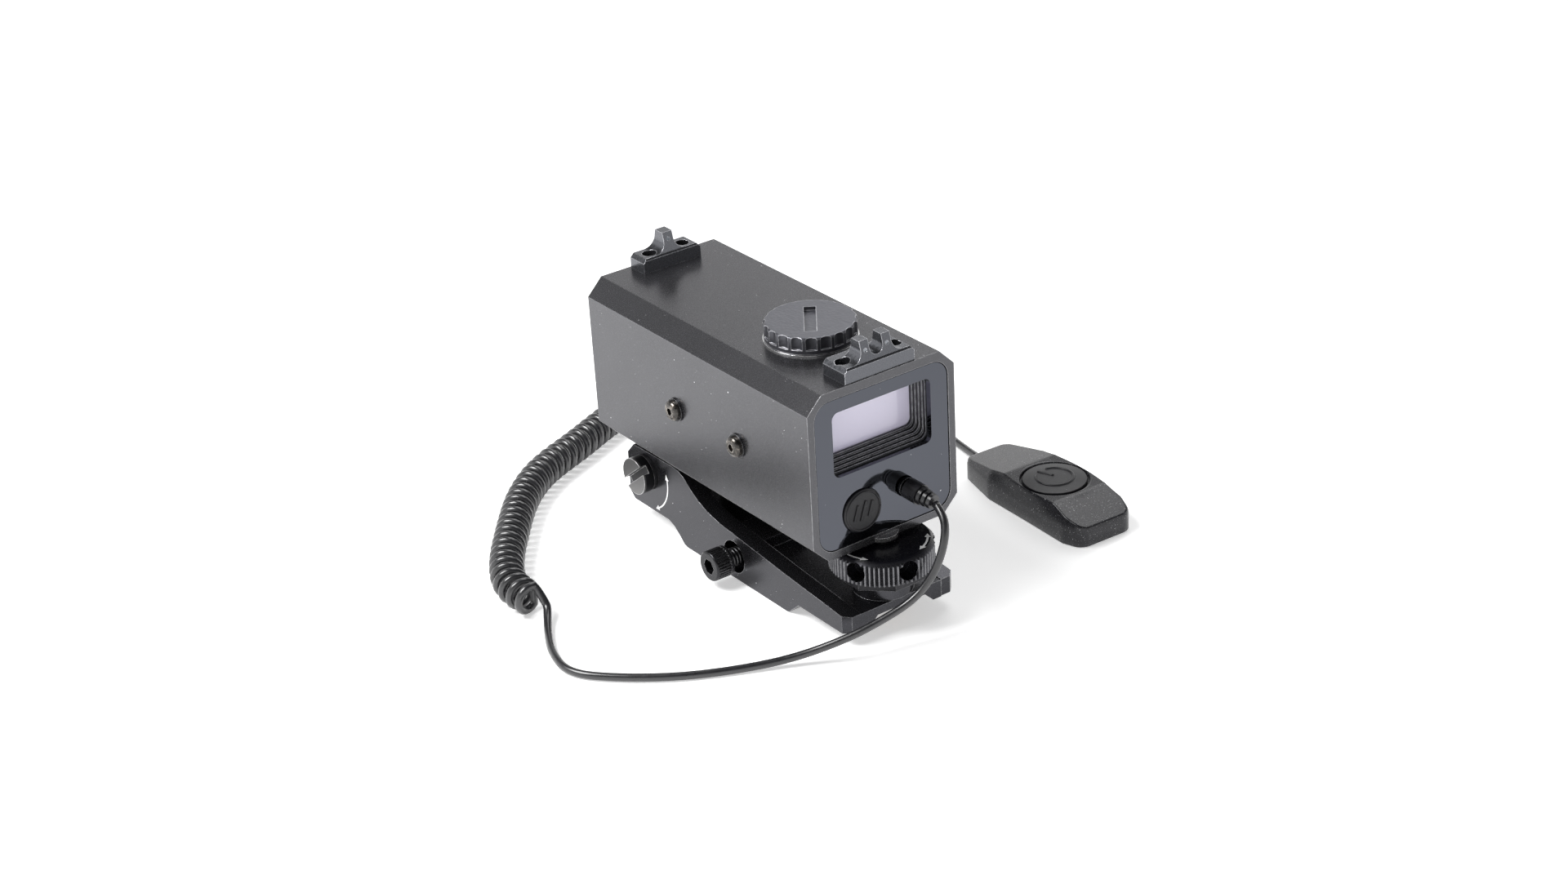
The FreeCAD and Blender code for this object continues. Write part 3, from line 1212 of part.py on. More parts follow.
SUB_PARTS = [
    base, elevation_bush, jaw_guide_pins, friction_washer, clamp_jaw, clamp_washer,
    clamp_screw, windage_screw, windage_clip, trunnion_barrel, preload_spring,
    spring_anchor_pin, bracket, bracket_screws, elevation_wheel, jack_screw,
    thrust_pin, thrust_pad, housing, user_panel, window_bezel, display_glass,
    display_module, front_board, mode_button, mode_switch, remote_jack, far_panel,
    optics_block, receiver_tube, emitter_tube, receiver_lens, emitter_lens,
    lens_rings, detector, laser_diode, main_board,
    battery_holder, battery_cell, battery_spring, battery_cap_seat, battery_cap,
    cap_o_ring, cap_contact, rear_sight, front_sight, sight_fibres, sight_screws,
    side_screws, side_washers, plug_tip, plug_boot, cord_lead_front, cord_coil,
    cord_lead_back, remote_shell, remote_plate, remote_button, remote_switch,
    remote_strain_relief,
]

os.makedirs("parts", exist_ok=True)
for make in SUB_PARTS:
    shape = make()
    shape.exportStep("parts/" + make.__name__ + ".step")
    box = shape.BoundBox
    print(make.__name__, "valid" if shape.isValid() else "NOT VALID", len(shape.Solids),
          "solids", round(shape.Volume, 1), "mm3",
          [round(v, 2) for v in (box.XMin, box.XMax, box.YMin, box.YMax, box.ZMin, box.ZMax)])
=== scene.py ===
"""Looks of a rail-mounted electronic sight with a curly-cord remote switch.

Metres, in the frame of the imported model: +X right, +Y the way the sight aims, +Z up.
The origin is on the rail's top face under the clamp screw.
"""
import math

import bpy
from mathutils import Matrix, Vector


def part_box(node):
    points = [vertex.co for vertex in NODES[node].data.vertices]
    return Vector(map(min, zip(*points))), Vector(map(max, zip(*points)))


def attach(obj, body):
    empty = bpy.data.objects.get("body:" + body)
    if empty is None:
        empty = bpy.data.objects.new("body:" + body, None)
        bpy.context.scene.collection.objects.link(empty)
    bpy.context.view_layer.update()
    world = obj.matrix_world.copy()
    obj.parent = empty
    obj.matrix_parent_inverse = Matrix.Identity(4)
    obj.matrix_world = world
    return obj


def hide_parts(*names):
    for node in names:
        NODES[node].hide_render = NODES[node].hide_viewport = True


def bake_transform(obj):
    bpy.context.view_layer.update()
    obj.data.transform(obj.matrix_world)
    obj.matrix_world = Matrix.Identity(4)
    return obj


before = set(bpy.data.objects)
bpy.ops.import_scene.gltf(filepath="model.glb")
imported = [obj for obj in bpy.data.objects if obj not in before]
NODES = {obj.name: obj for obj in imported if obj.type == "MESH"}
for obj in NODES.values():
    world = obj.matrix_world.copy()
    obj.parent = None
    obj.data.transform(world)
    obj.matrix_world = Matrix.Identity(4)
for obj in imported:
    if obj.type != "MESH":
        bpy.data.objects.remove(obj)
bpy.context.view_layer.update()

MM = 0.001
FLOOR_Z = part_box("base")[0][2]
CORD_R = 1.1 * MM
COIL_R = 4.9 * MM
COIL_PITCH = 3.5 * MM
WHEEL_AXIS_Y = -41.7
WHEEL_TOP_Z = 16.8


# ---- camera -------------------------------------------------------------------------
CAMERA_AT = (-0.3858, -0.5487, 0.3721)
CAMERA_AZIMUTH = -35.14
CAMERA_ELEVATION = 27.08
CAMERA_ROLL = -3.20
CAMERA_LENS = 64.78


def add_camera():
    """A camera that looks down at the sight's near left corner, rolled a little to one side."""
    turn = math.radians(CAMERA_AZIMUTH)
    rise = math.radians(CAMERA_ELEVATION)
    roll = math.radians(CAMERA_ROLL)
    back = Vector((math.sin(turn) * math.cos(rise), -math.cos(turn) * math.cos(rise),
                   math.sin(rise)))
    right = Vector((0, 0, 1)).cross(back).normalized()
    up = back.cross(right)
    rolled_right = right * math.cos(roll) + up * math.sin(roll)
    rolled_up = up * math.cos(roll) - right * math.sin(roll)
    data = bpy.data.cameras.new("camera")
    data.lens = CAMERA_LENS
    data.sensor_width = 36
    data.clip_start = 0.01
    camera = bpy.data.objects.new("camera", data)
    bpy.context.scene.collection.objects.link(camera)
    turned = Matrix((rolled_right, rolled_up, back)).transposed().to_4x4()
    camera.matrix_world = Matrix.Translation(CAMERA_AT) @ turned
    bpy.context.scene.camera = camera


# ---- light and floor ----------------------------------------------------------------
TENT_FADE = (0.37, 0.49)     # height in the world's own measure, from low to high
TENT_LOW = 1.25
TENT_HIGH = 0.07
KEY_POWER = 13
FILL_POWER = 3.5
FLOOR_GLOW = 0.42
FLOOR_REACH = 6.0
FLOOR_GAP = 0.05 * MM


def add_area_light(name, place, target, size, power):
    data = bpy.data.lights.new(name, "AREA")
    data.shape = "SQUARE"
    data.size = size
    data.energy = power
    light = bpy.data.objects.new(name, data)
    bpy.context.scene.collection.objects.link(light)
    aim = Vector(target) - Vector(place)
    light.matrix_world = (Matrix.Translation(place)
                          @ aim.to_track_quat("-Z", "Y").to_matrix().to_4x4())


def add_studio():
    """A white tent that is bright low down and darker above, with two soft lamps."""
    scene = bpy.context.scene
    scene.view_settings.view_transform = "Standard"
    world = bpy.data.worlds.new("studio")
    world.use_nodes = True
    tree = world.node_tree
    background = tree.nodes["Background"]
    background.inputs["Color"].default_value = (1, 1, 1, 1)
    place = tree.nodes.new("ShaderNodeTexCoord")
    split = tree.nodes.new("ShaderNodeSeparateXYZ")
    ramp = tree.nodes.new("ShaderNodeMapRange")
    ramp.interpolation_type = "SMOOTHSTEP"
    ramp.inputs["From Min"].default_value = TENT_FADE[0]
    ramp.inputs["From Max"].default_value = TENT_FADE[1]
    ramp.inputs["To Min"].default_value = TENT_LOW
    ramp.inputs["To Max"].default_value = TENT_HIGH
    tree.links.new(place.outputs["Generated"], split.inputs["Vector"])
    tree.links.new(split.outputs["Z"], ramp.inputs["Value"])
    tree.links.new(ramp.outputs["Result"], background.inputs["Strength"])
    scene.world = world
    add_area_light("key", (-0.55, 0.25, 0.85), (0, 0, 0), 0.5, KEY_POWER)
    add_area_light("fill", (0.55, 0.40, 0.85), (0, 0, 0), 0.6, FILL_POWER)


def add_floor():
    mesh = bpy.data.meshes.new("floor")
    reach = FLOOR_REACH
    z = FLOOR_Z - FLOOR_GAP
    corners = [(-reach, -reach, z), (reach, -reach, z), (reach, reach, z), (-reach, reach, z)]
    mesh.from_pydata(corners, [], [(0, 1, 2, 3)])
    floor = bpy.data.objects.new("floor", mesh)
    bpy.context.scene.collection.objects.link(floor)
    paint = Paint("floor_white", (0.93, 0.93, 0.93), roughness=0.75)
    paint.shader.inputs["Emission Color"].default_value = (1, 1, 1, 1)
    paint.shader.inputs["Emission Strength"].default_value = FLOOR_GLOW
    mesh.materials.append(paint.material)


# ---- materials ----------------------------------------------------------------------
class Paint:
    """A principled material, with short calls for what varies over its surface."""

    def __init__(self, name, color, roughness=0.5, metallic=0.0, specular=0.5, coat=0.0):
        self.material = bpy.data.materials.new(name)
        self.material.use_nodes = True
        self.tree = self.material.node_tree
        self.shader = self.tree.nodes["Principled BSDF"]
        self.color = (*color, 1)
        self.shader.inputs["Base Color"].default_value = self.color
        self.shader.inputs["Roughness"].default_value = roughness
        self.shader.inputs["Metallic"].default_value = metallic
        self.shader.inputs["Specular IOR Level"].default_value = specular
        self.shader.inputs["Coat Weight"].default_value = coat
        self.shader.inputs["Coat Roughness"].default_value = 0.08
        self.normal = None
        self.place = self.add("ShaderNodeTexCoord").outputs["Object"]

    def add(self, kind):
        return self.tree.nodes.new(kind)

    def join(self, output, socket):
        self.tree.links.new(output, socket)

    def noise(self, scale, detail=4, roughness=0.6, stretch=(1, 1, 1)):
        mapping = self.add("ShaderNodeMapping")
        mapping.inputs["Scale"].default_value = stretch
        self.join(self.place, mapping.inputs["Vector"])
        texture = self.add("ShaderNodeTexNoise")
        texture.inputs["Scale"].default_value = scale
        texture.inputs["Detail"].default_value = detail
        texture.inputs["Roughness"].default_value = roughness
        self.join(mapping.outputs["Vector"], texture.inputs["Vector"])
        return texture.outputs["Fac"]

    def cells(self, scale):
        texture = self.add("ShaderNodeTexVoronoi")
        texture.inputs["Scale"].default_value = scale
        self.join(self.place, texture.inputs["Vector"])
        return texture.outputs["Distance"]

    def ramp(self, value, low, high, low_out=0.0, high_out=1.0):
        node = self.add("ShaderNodeMapRange")
        node.inputs["From Min"].default_value = low
        node.inputs["From Max"].default_value = high
        node.inputs["To Min"].default_value = low_out
        node.inputs["To Max"].default_value = high_out
        self.join(value, node.inputs["Value"])
        return node.outputs["Result"]

    def height(self, axis, low, high, low_out=0.0, high_out=1.0):
        """A value that changes along one of the object's axes, between two places."""
        split = self.add("ShaderNodeSeparateXYZ")
        self.join(self.place, split.inputs["Vector"])
        return self.ramp(split.outputs[axis], low, high, low_out, high_out)

    def from_upright(self, y):
        """Distance from an upright line that crosses the object's Y axis at y."""
        split = self.add("ShaderNodeSeparateXYZ")
        self.join(self.place, split.inputs["Vector"])
        along = self.add("ShaderNodeMath")
        along.operation = "SUBTRACT"
        along.inputs[1].default_value = y
        self.join(split.outputs["Y"], along.inputs[0])
        flat = self.add("ShaderNodeCombineXYZ")
        self.join(split.outputs["X"], flat.inputs["X"])
        self.join(along.outputs["Value"], flat.inputs["Y"])
        length = self.add("ShaderNodeVectorMath")
        length.operation = "LENGTH"
        self.join(flat.outputs["Vector"], length.inputs[0])
        return length.outputs["Value"]

    def times(self, first, second):
        node = self.add("ShaderNodeMath")
        node.operation = "MULTIPLY"
        self.join(first, node.inputs[0])
        self.join(second, node.inputs[1])
        return node.outputs["Value"]

    def facing(self, way, low, high):
        """A value that is 1 where the surface looks one way, and 0 where it does not."""
        geometry = self.add("ShaderNodeNewGeometry")
        match = self.add("ShaderNodeVectorMath")
        match.operation = "DOT_PRODUCT"
        self.join(geometry.outputs["True Normal"], match.inputs[0])
        match.inputs[1].default_value = way
        return self.ramp(match.outputs["Value"], low, high)

    def rounded_edges(self, radius):
        node = self.add("ShaderNodeBevel")
        node.samples = 4
        node.inputs["Radius"].default_value = radius
        if self.normal is not None:
            self.join(self.normal, node.inputs["Normal"])
        self.normal = node.outputs["Normal"]
        self.join(self.normal, self.shader.inputs["Normal"])
        return self

    def bump(self, value, depth, strength=1.0):
        node = self.add("ShaderNodeBump")
        node.inputs["Distance"].default_value = depth
        node.inputs["Strength"].default_value = strength
        self.join(value, node.inputs["Height"])
        if self.normal is not None:
            self.join(self.normal, node.inputs["Normal"])
        self.normal = node.outputs["Normal"]
        self.join(self.normal, self.shader.inputs["Normal"])
        return self

    def tint(self, value, other):
        """Mixes the base colour towards another colour where value is high."""
        node = self.add("ShaderNodeMix")
        node.data_type = "RGBA"
        linked = self.shader.inputs["Base Color"].links
        node.inputs["A"].default_value = self.color
        if linked:
            self.join(linked[0].from_socket, node.inputs["A"])
        node.inputs["B"].default_value = (*other, 1)
        self.join(value, node.inputs["Factor"])
        self.join(node.outputs["Result"], self.shader.inputs["Base Color"])
        return self

    def rough(self, value):
        self.join(value, self.shader.inputs["Roughness"])
        return self

    def edge_wear_and_painted_highlight(self, width, other, amount=0.7):
        """A lighter colour where the surface turns sharply, broken up by a noise: bare metal
        where metal parts are rubbed, and a painted highlight on the bezel's steps and the cap's
        edges.
        """
        smooth = self.add("ShaderNodeBevel")
        smooth.samples = 6
        smooth.inputs["Radius"].default_value = width
        geometry = self.add("ShaderNodeNewGeometry")
        turn = self.add("ShaderNodeVectorMath")
        turn.operation = "DOT_PRODUCT"
        self.join(smooth.outputs["Normal"], turn.inputs[0])
        self.join(geometry.outputs["True Normal"], turn.inputs[1])
        edge = self.ramp(turn.outputs["Value"], 0.985, 0.90)
        broken = self.ramp(self.noise(700, 3, 0.6), 0.30, 0.62, amount * 0.35, amount)
        return self.tint(self.times(edge, broken), other)

    def specks(self, scale, low, other, amount=1.0):
        """Scattered small spots of another colour."""
        spots = self.ramp(self.noise(scale, 2, 0.5), low, low + 0.03, 0, amount)
        return self.tint(spots, other)


def anodised(name, color):
    """Fine-grained anodised metal with soft clouds, dust specks and bright edges."""
    paint = Paint(name, color, metallic=0.9)
    grain = paint.noise(5200, 3, 0.7)
    paint.rough(paint.ramp(grain, 0.3, 0.7, 0.2, 0.3))
    lighter = [value * 1.2 for value in color]
    paint.tint(paint.ramp(paint.noise(45, 3), 0.35, 0.7, 0, 0.4), lighter)
    glints = [value * 2.4 for value in color]
    paint.tint(paint.ramp(paint.noise(3600, 2, 0.6), 0.60, 0.72, 0, 0.5), glints)
    paint.specks(1500, 0.745, (0.9, 0.9, 0.92), 0.8)
    paint.rounded_edges(0.25 * MM)
    paint.bump(grain, 0.012 * MM, 0.6)
    paint.edge_wear_and_painted_highlight(0.3 * MM, (0.85, 0.85, 0.87), 0.4)
    return paint.material


def panel_gloss():
    paint = Paint("glossy_black_panel", (0.081, 0.085, 0.099), metallic=1.0)
    paint.rough(paint.ramp(paint.noise(90, 3), 0.3, 0.8, 0.03, 0.09))
    paint.rounded_edges(0.15 * MM)
    paint.specks(1300, 0.77, (0.9, 0.9, 0.92), 0.8)
    return paint.material


def bezel_plastic():
    """Black plastic, with a painted highlight along the crests of its stepped edges and its
    faces that look along -Y painted lighter.
    """
    paint = Paint("bezel_plastic", (0.008, 0.008, 0.009), roughness=0.22)
    paint.rounded_edges(0.12 * MM)
    paint.bump(paint.noise(2600, 3), 0.008 * MM, 0.4)
    # Painted light: the faces that look along -Y are painted lighter than the rest of the black
    # plastic.
    paint.tint(paint.facing((0, -1, 0), 0.9, 0.97), (0.05, 0.05, 0.055))
    # Painted highlight: a grey line along the crest of each step.
    paint.edge_wear_and_painted_highlight(0.35 * MM, (0.5, 0.5, 0.54), 0.9)
    return paint.material


def moulding():
    paint = Paint("black_moulding", (0.012, 0.012, 0.013), roughness=0.42)
    paint.rounded_edges(0.12 * MM)
    paint.bump(paint.noise(2600, 3), 0.01 * MM, 0.5)
    return paint.material


def window_glass():
    paint = Paint("display_glass", (0.60, 0.57, 0.72), roughness=0.1, coat=0.3)
    cloud = paint.noise(28, 2)
    paint.tint(paint.ramp(cloud, 0.35, 0.7, 0, 0.5), (0.65, 0.61, 0.74))
    paint.tint(paint.height("Z", 42.5 * MM, 58 * MM, 0.0, 0.45), (0.68, 0.66, 0.76))
    return paint.material


def display_back():
    paint = Paint("display", (0.5, 0.48, 0.6), roughness=0.5)
    paint.bump(paint.noise(800), 0.01 * MM, 0.3)
    return paint.material


def circuit_board():
    paint = Paint("circuit_board", (0.01, 0.09, 0.035), roughness=0.35)
    paint.tint(paint.ramp(paint.cells(420), 0.28, 0.36, 0, 0.7), (0.03, 0.2, 0.08))
    paint.bump(paint.noise(700), 0.02 * MM, 0.4)
    return paint.material


def button_rubber():
    paint = Paint("button_rubber", (0.006, 0.006, 0.008), roughness=0.42, specular=0.42)
    paint.rounded_edges(0.35 * MM)
    paint.bump(paint.noise(3800, 3), 0.02 * MM, 0.7)
    paint.tint(paint.ramp(paint.noise(500), 0.45, 0.8, 0, 0.4), (0.02, 0.02, 0.022))
    paint.specks(1900, 0.74, (0.35, 0.35, 0.37), 0.5)
    return paint.material


def bright_metal(name, color, roughness):
    paint = Paint(name, color, roughness=roughness, metallic=1.0)
    paint.rough(paint.ramp(paint.noise(900, 3), 0.3, 0.7, roughness * 0.7, roughness * 1.4))
    paint.rounded_edges(0.12 * MM)
    paint.bump(paint.noise(1500, 2, stretch=(1, 8, 1)), 0.008 * MM, 0.5)
    return paint.material


def coated_lens():
    paint = Paint("lens_glass", (0.12, 0.02, 0.05), roughness=0.03, coat=1.0)
    paint.tint(paint.ramp(paint.noise(40), 0.3, 0.8), (0.03, 0.05, 0.12))
    return paint.material


def battery_jacket():
    paint = Paint("battery_jacket", (0.03, 0.05, 0.12), roughness=0.3, coat=0.5)
    paint.bump(paint.noise(300), 0.02 * MM, 0.3)
    return paint.material


def cap_plastic():
    """Leather-grained top and smooth scalloped side; the top is painted lighter than the side,
    and the edges carry a painted highlight.
    """
    paint = Paint("cap_plastic", (0.06, 0.061, 0.07), roughness=0.3, metallic=0.6, specular=0.6)
    paint.rounded_edges(0.3 * MM)
    paint.bump(paint.cells(1150), 0.05 * MM, 0.6)
    paint.bump(paint.noise(520, 4), 0.05 * MM, 0.5)
    # Painted light: the top is painted lighter, and the side stays darker as if in shade.
    paint.tint(paint.facing((0, 0, 1), 0.9, 0.99), (0.088, 0.09, 0.105))
    paint.tint(paint.ramp(paint.noise(300), 0.4, 0.8, 0, 0.3), (0.13, 0.13, 0.148))
    # Painted highlight: a bright line along the rim and the scallops' edges.
    paint.edge_wear_and_painted_highlight(0.3 * MM, (0.8, 0.8, 0.84), 0.95)
    return paint.material


def seal_rubber():
    paint = Paint("seal_rubber", (0.01, 0.01, 0.01), roughness=0.5)
    paint.bump(paint.noise(2000), 0.01 * MM, 0.4)
    return paint.material


def fibre():
    paint = Paint("fibre", (0.2, 0.22, 0.25), roughness=0.15, coat=0.6)
    paint.tint(paint.ramp(paint.noise(900), 0.4, 0.7), (0.34, 0.36, 0.4))
    return paint.material


def black_steel():
    paint = Paint("black_steel", (0.035, 0.035, 0.038), metallic=0.9)
    paint.rough(paint.ramp(paint.noise(900, 2), 0.3, 0.7, 0.24, 0.32))
    paint.rounded_edges(0.2 * MM)
    paint.bump(paint.noise(2400, 2), 0.005 * MM, 0.3)
    paint.edge_wear_and_painted_highlight(0.22 * MM, (0.45, 0.45, 0.46), 0.6)
    return paint.material


def worn_steel():
    """Slotted screw: a smooth grey face, a black side, and edges rubbed bright."""
    paint = Paint("worn_steel", (0.02, 0.02, 0.022), metallic=0.9)
    paint.rough(paint.ramp(paint.noise(1500, 3), 0.3, 0.7, 0.28, 0.38))
    paint.tint(paint.height("X", -21.3 * MM, -21.9 * MM), (0.17, 0.168, 0.168))
    paint.rounded_edges(0.25 * MM)
    paint.edge_wear_and_painted_highlight(0.35 * MM, (0.85, 0.85, 0.85), 0.9)
    return paint.material


def worn_bronze():
    """Button-head screws, black with the coating rubbed through to brown metal."""
    paint = Paint("worn_bronze", (0.07, 0.066, 0.062), metallic=0.95)
    paint.rough(paint.ramp(paint.noise(1200, 4), 0.3, 0.7, 0.16, 0.32))
    paint.tint(paint.ramp(paint.noise(700, 4, 0.7), 0.5, 0.66, 0, 0.6), (0.34, 0.3, 0.26))
    paint.rounded_edges(0.25 * MM)
    paint.edge_wear_and_painted_highlight(0.3 * MM, (0.75, 0.7, 0.64), 0.9)
    return paint.material


def wheel_metal():
    """Gloss black on the flat top, and rubbed grey on the crests of the ridged rim."""
    paint = Paint("wheel_metal", (0.004, 0.004, 0.006), specular=0.12)
    paint.rough(paint.ramp(paint.noise(700, 4), 0.3, 0.7, 0.22, 0.34))
    rim = paint.height("Z", 16.6 * MM, 15.8 * MM)
    metal = paint.ramp(rim, 0, 1, 0.0, 0.9)
    paint.join(metal, paint.shader.inputs["Metallic"])
    paint.tint(rim, (0.04, 0.04, 0.045))
    from_middle = paint.from_upright(WHEEL_AXIS_Y * MM)
    crest = paint.ramp(from_middle, 13.72 * MM, 13.98 * MM)
    worn = paint.ramp(paint.noise(600, 4, 0.7), 0.3, 0.6, 0.45, 0.95)
    paint.tint(paint.times(crest, worn), (0.2, 0.2, 0.21))
    paint.rounded_edges(0.12 * MM)
    return paint.material


def cord_jacket(name, coat):
    paint = Paint(name, (0.012, 0.012, 0.014), roughness=0.3, specular=0.7)
    paint.rough(paint.ramp(paint.noise(500, 2), 0.3, 0.7, 0.26, 0.38))
    paint.bump(paint.noise(1800, 3), 0.01 * MM, 0.4)
    paint.shader.inputs["Coat Weight"].default_value = coat
    paint.shader.inputs["Coat Roughness"].default_value = 0.16
    return paint.material


def remote_plastic():
    """Glossy black plastic with a fine sparkle."""
    paint = Paint("remote_plastic", (0.014, 0.014, 0.017), metallic=0.2, specular=0.5)
    paint.rough(paint.ramp(paint.noise(3600, 2), 0.35, 0.65, 0.22, 0.34))
    paint.bump(paint.noise(3400, 2, 0.5), 0.012 * MM, 0.5)
    paint.specks(3000, 0.68, (0.6, 0.6, 0.62), 0.6)
    return paint.material


def sight_metal():
    """Semi-gloss dark metal, rubbed brighter along its edges."""
    paint = Paint("sight_metal", (0.115, 0.118, 0.13), metallic=0.9)
    paint.rough(paint.ramp(paint.noise(1500, 3), 0.3, 0.7, 0.2, 0.32))
    paint.bump(paint.noise(3000, 2), 0.004 * MM, 0.4)
    paint.rounded_edges(0.25 * MM)
    paint.edge_wear_and_painted_highlight(0.3 * MM, (0.8, 0.8, 0.84), 0.9)
    return paint.material


def white_ink():
    paint = Paint("white_ink", (0.8, 0.8, 0.8), roughness=0.45)
    paint.tint(paint.ramp(paint.noise(2200, 3), 0.55, 0.75, 0, 0.5), (0.3, 0.3, 0.3))
    return paint.material


def paint_nodes():
    """Gives every CAD node its material."""
    steel = black_steel()
    nickel = bright_metal("metal_nickel", (0.6, 0.58, 0.53), 0.25)
    machined = bright_metal("machined_aluminium", (0.42, 0.43, 0.45), 0.3)
    bright = bright_metal("bright_steel", (0.8, 0.8, 0.8), 0.16)
    bronze = bright_metal("turned_bronze", (0.55, 0.38, 0.17), 0.28)
    black = anodised("black_anodised_aluminium", (0.088, 0.088, 0.094))
    dark = anodised("darker_anodised_aluminium", (0.052, 0.052, 0.058))
    gloss = panel_gloss()
    plastic = moulding()
    board = circuit_board()
    rubber = button_rubber()
    lens = coated_lens()
    cord = cord_jacket("cord_jacket", 0.4)
    boot = cord_jacket("boot_rubber", 0.1)
    shell = remote_plastic()
    sight = sight_metal()
    finishes = {
        "base": dark, "clamp_jaw": dark, "bracket": black, "housing": black,
        "rear_sight": sight, "front_sight": sight, "user_panel": gloss,
        "far_panel": gloss, "window_bezel": bezel_plastic(), "battery_holder": plastic,
        "mode_switch": plastic, "display_glass": window_glass(),
        "display_module": display_back(), "front_board": board, "main_board": board,
        "remote_switch": board, "mode_button": rubber, "remote_button": rubber,
        "remote_jack": steel, "battery_spring": nickel, "cap_contact": nickel,
        "plug_tip": nickel, "detector": nickel, "laser_diode": nickel,
        "optics_block": machined, "receiver_tube": machined, "emitter_tube": machined,
        "lens_rings": steel, "receiver_lens": lens, "emitter_lens": lens,
        "battery_cell": battery_jacket(), "battery_cap_seat": bright,
        "battery_cap": cap_plastic(), "cap_o_ring": seal_rubber(),
        "sight_fibres": fibre(), "sight_screws": steel, "side_screws": worn_bronze(),
        "side_washers": steel, "clamp_screw": steel, "clamp_washer": steel,
        "windage_screw": worn_steel(), "windage_clip": steel, "jack_screw": steel,
        "bracket_screws": steel, "spring_anchor_pin": steel, "jaw_guide_pins": steel,
        "elevation_wheel": wheel_metal(), "thrust_pin": bright, "thrust_pad": bright,
        "preload_spring": bright, "elevation_bush": bronze, "trunnion_barrel": bronze,
        "friction_washer": plastic, "plug_boot": boot, "cord_lead_front": cord,
        "cord_coil": cord, "cord_lead_back": cord, "remote_strain_relief": cord,
        "remote_shell": shell, "remote_plate": shell,
    }
    for name, node in NODES.items():
        node.data.materials.clear()
        node.data.materials.append(finishes[name])
    return finishes


# ---- mesh helpers -------------------------------------------------------------------
def new_piece(name, vertices, faces, material, smooth=True):
    mesh = bpy.data.meshes.new(name)
    mesh.from_pydata([tuple(v) for v in vertices], [], faces)
    mesh.materials.append(material)
    for polygon in mesh.polygons:
        polygon.use_smooth = smooth
    piece = bpy.data.objects.new(name, mesh)
    bpy.context.scene.collection.objects.link(piece)
    return piece


def line_of(name, route, samples):
    """Points along the NURBS spline whose control points are the route."""
    curve = bpy.data.curves.new(name, "CURVE")
    curve.dimensions = "3D"
    curve.resolution_u = samples
    spline = curve.splines.new("NURBS")
    spline.points.add(len(route) - 1)
    for point, place in zip(spline.points, route):
        point.co = (*[v * MM for v in place], 1)
    spline.order_u = 3
    spline.use_endpoint_u = True
    holder = bpy.data.objects.new(name, curve)
    mesh = bpy.data.meshes.new_from_object(holder)
    points = [v.co.copy() for v in mesh.vertices]
    bpy.data.meshes.remove(mesh)
    bpy.data.objects.remove(holder)
    bpy.data.curves.remove(curve)
    return points


def evenly(points, step):
    """The same line with points a step apart."""
    result = [points[0].copy()]
    left = step
    for a, b in zip(points, points[1:]):
        run = (b - a).length
        at = 0.0
        while run - at >= left:
            at += left
            result.append(a.lerp(b, at / run))
            left = step
        left -= run - at
    if (result[-1] - points[-1]).length > step * 0.5:
        result.append(points[-1].copy())
    else:
        result[-1] = points[-1].copy()
    return result


def directions(points):
    result = []
    for k in range(len(points)):
        after = points[min(k + 1, len(points) - 1)]
        before = points[max(k - 1, 0)]
        result.append((after - before).normalized())
    return result


def tube_mesh(points, radius, sides):
    """Vertices and faces of a closed tube along a line of points."""
    vertices = []
    faces = []
    side = directions(points)[0].orthogonal().normalized()
    for point, along in zip(points, directions(points)):
        side = (side - along * side.dot(along)).normalized()
        other = along.cross(side)
        for k in range(sides):
            turn = math.tau * k / sides
            vertices.append(point + (side * math.cos(turn) + other * math.sin(turn)) * radius)
    for ring in range(len(points) - 1):
        for k in range(sides):
            a = ring * sides + k
            b = ring * sides + (k + 1) % sides
            faces.append((a, b, b + sides, a + sides))
    last = (len(points) - 1) * sides
    faces.append(tuple(reversed(range(sides))))
    faces.append(tuple(range(last, last + sides)))
    return vertices, faces


# ---- the remote lead ----------------------------------------------------------------
LIE = -5.3
COIL = -1.5
FRONT_ROUTE = [
    (8.3, -54.0, 28.7), (8.0, -57.4, 27.2), (6.6, -60.2, 24.0), (4.2, -61.2, 18.4),
    (1.2, -60.6, 12.4), (-3.8, -59.0, 7.0), (-12.0, -56.4, 3.2), (-20.9, -53.4, 0.0),
    (-32.6, -46.2, -4.4), (-46.0, -40.0, LIE), (-59.5, -32.8, LIE),
    (-71.5, -22.8, LIE), (-79.6, -13.0, LIE), (-77.8, -2.0, LIE),
    (-72.8, 8.0, LIE), (-68.6, 14.5, LIE + 1.0), (-66.3, 18.0, LIE + 3.9),
]
COIL_ROUTE = [
    (-69.8, 19.0, COIL), (-71.6, 27.4, COIL), (-65.6, 40.4, COIL),
    (-53.8, 55.6, COIL), (-42.0, 69.8, COIL), (-29.0, 80.2, COIL),
    (-12.5, 86.8, COIL), (3.5, 94.5, COIL), (19.0, 100.5, COIL),
]
BACK_ROUTE = [
    (19.7, 100.7, LIE), (28.6, 101.6, LIE), (39.0, 97.6, LIE), (50.5, 90.0, LIE),
    (61.5, 79.6, LIE), (70.5, 66.8, LIE), (76.4, 52.6, LIE), (77.9, 38.2, LIE),
    (76.6, 25.0, LIE), (74.6, 14.8, LIE + 0.3), (72.98, 6.9, LIE + 1.0),
]
TURN_POINTS = 20             # points on one turn of the helix
LEAD_STEP = 1.1 * MM
LEAD_SIDES = 10
JOIN_REACH = 4.2 * MM        # how far a join between straight and curly is softened
JOIN_PASSES = 40


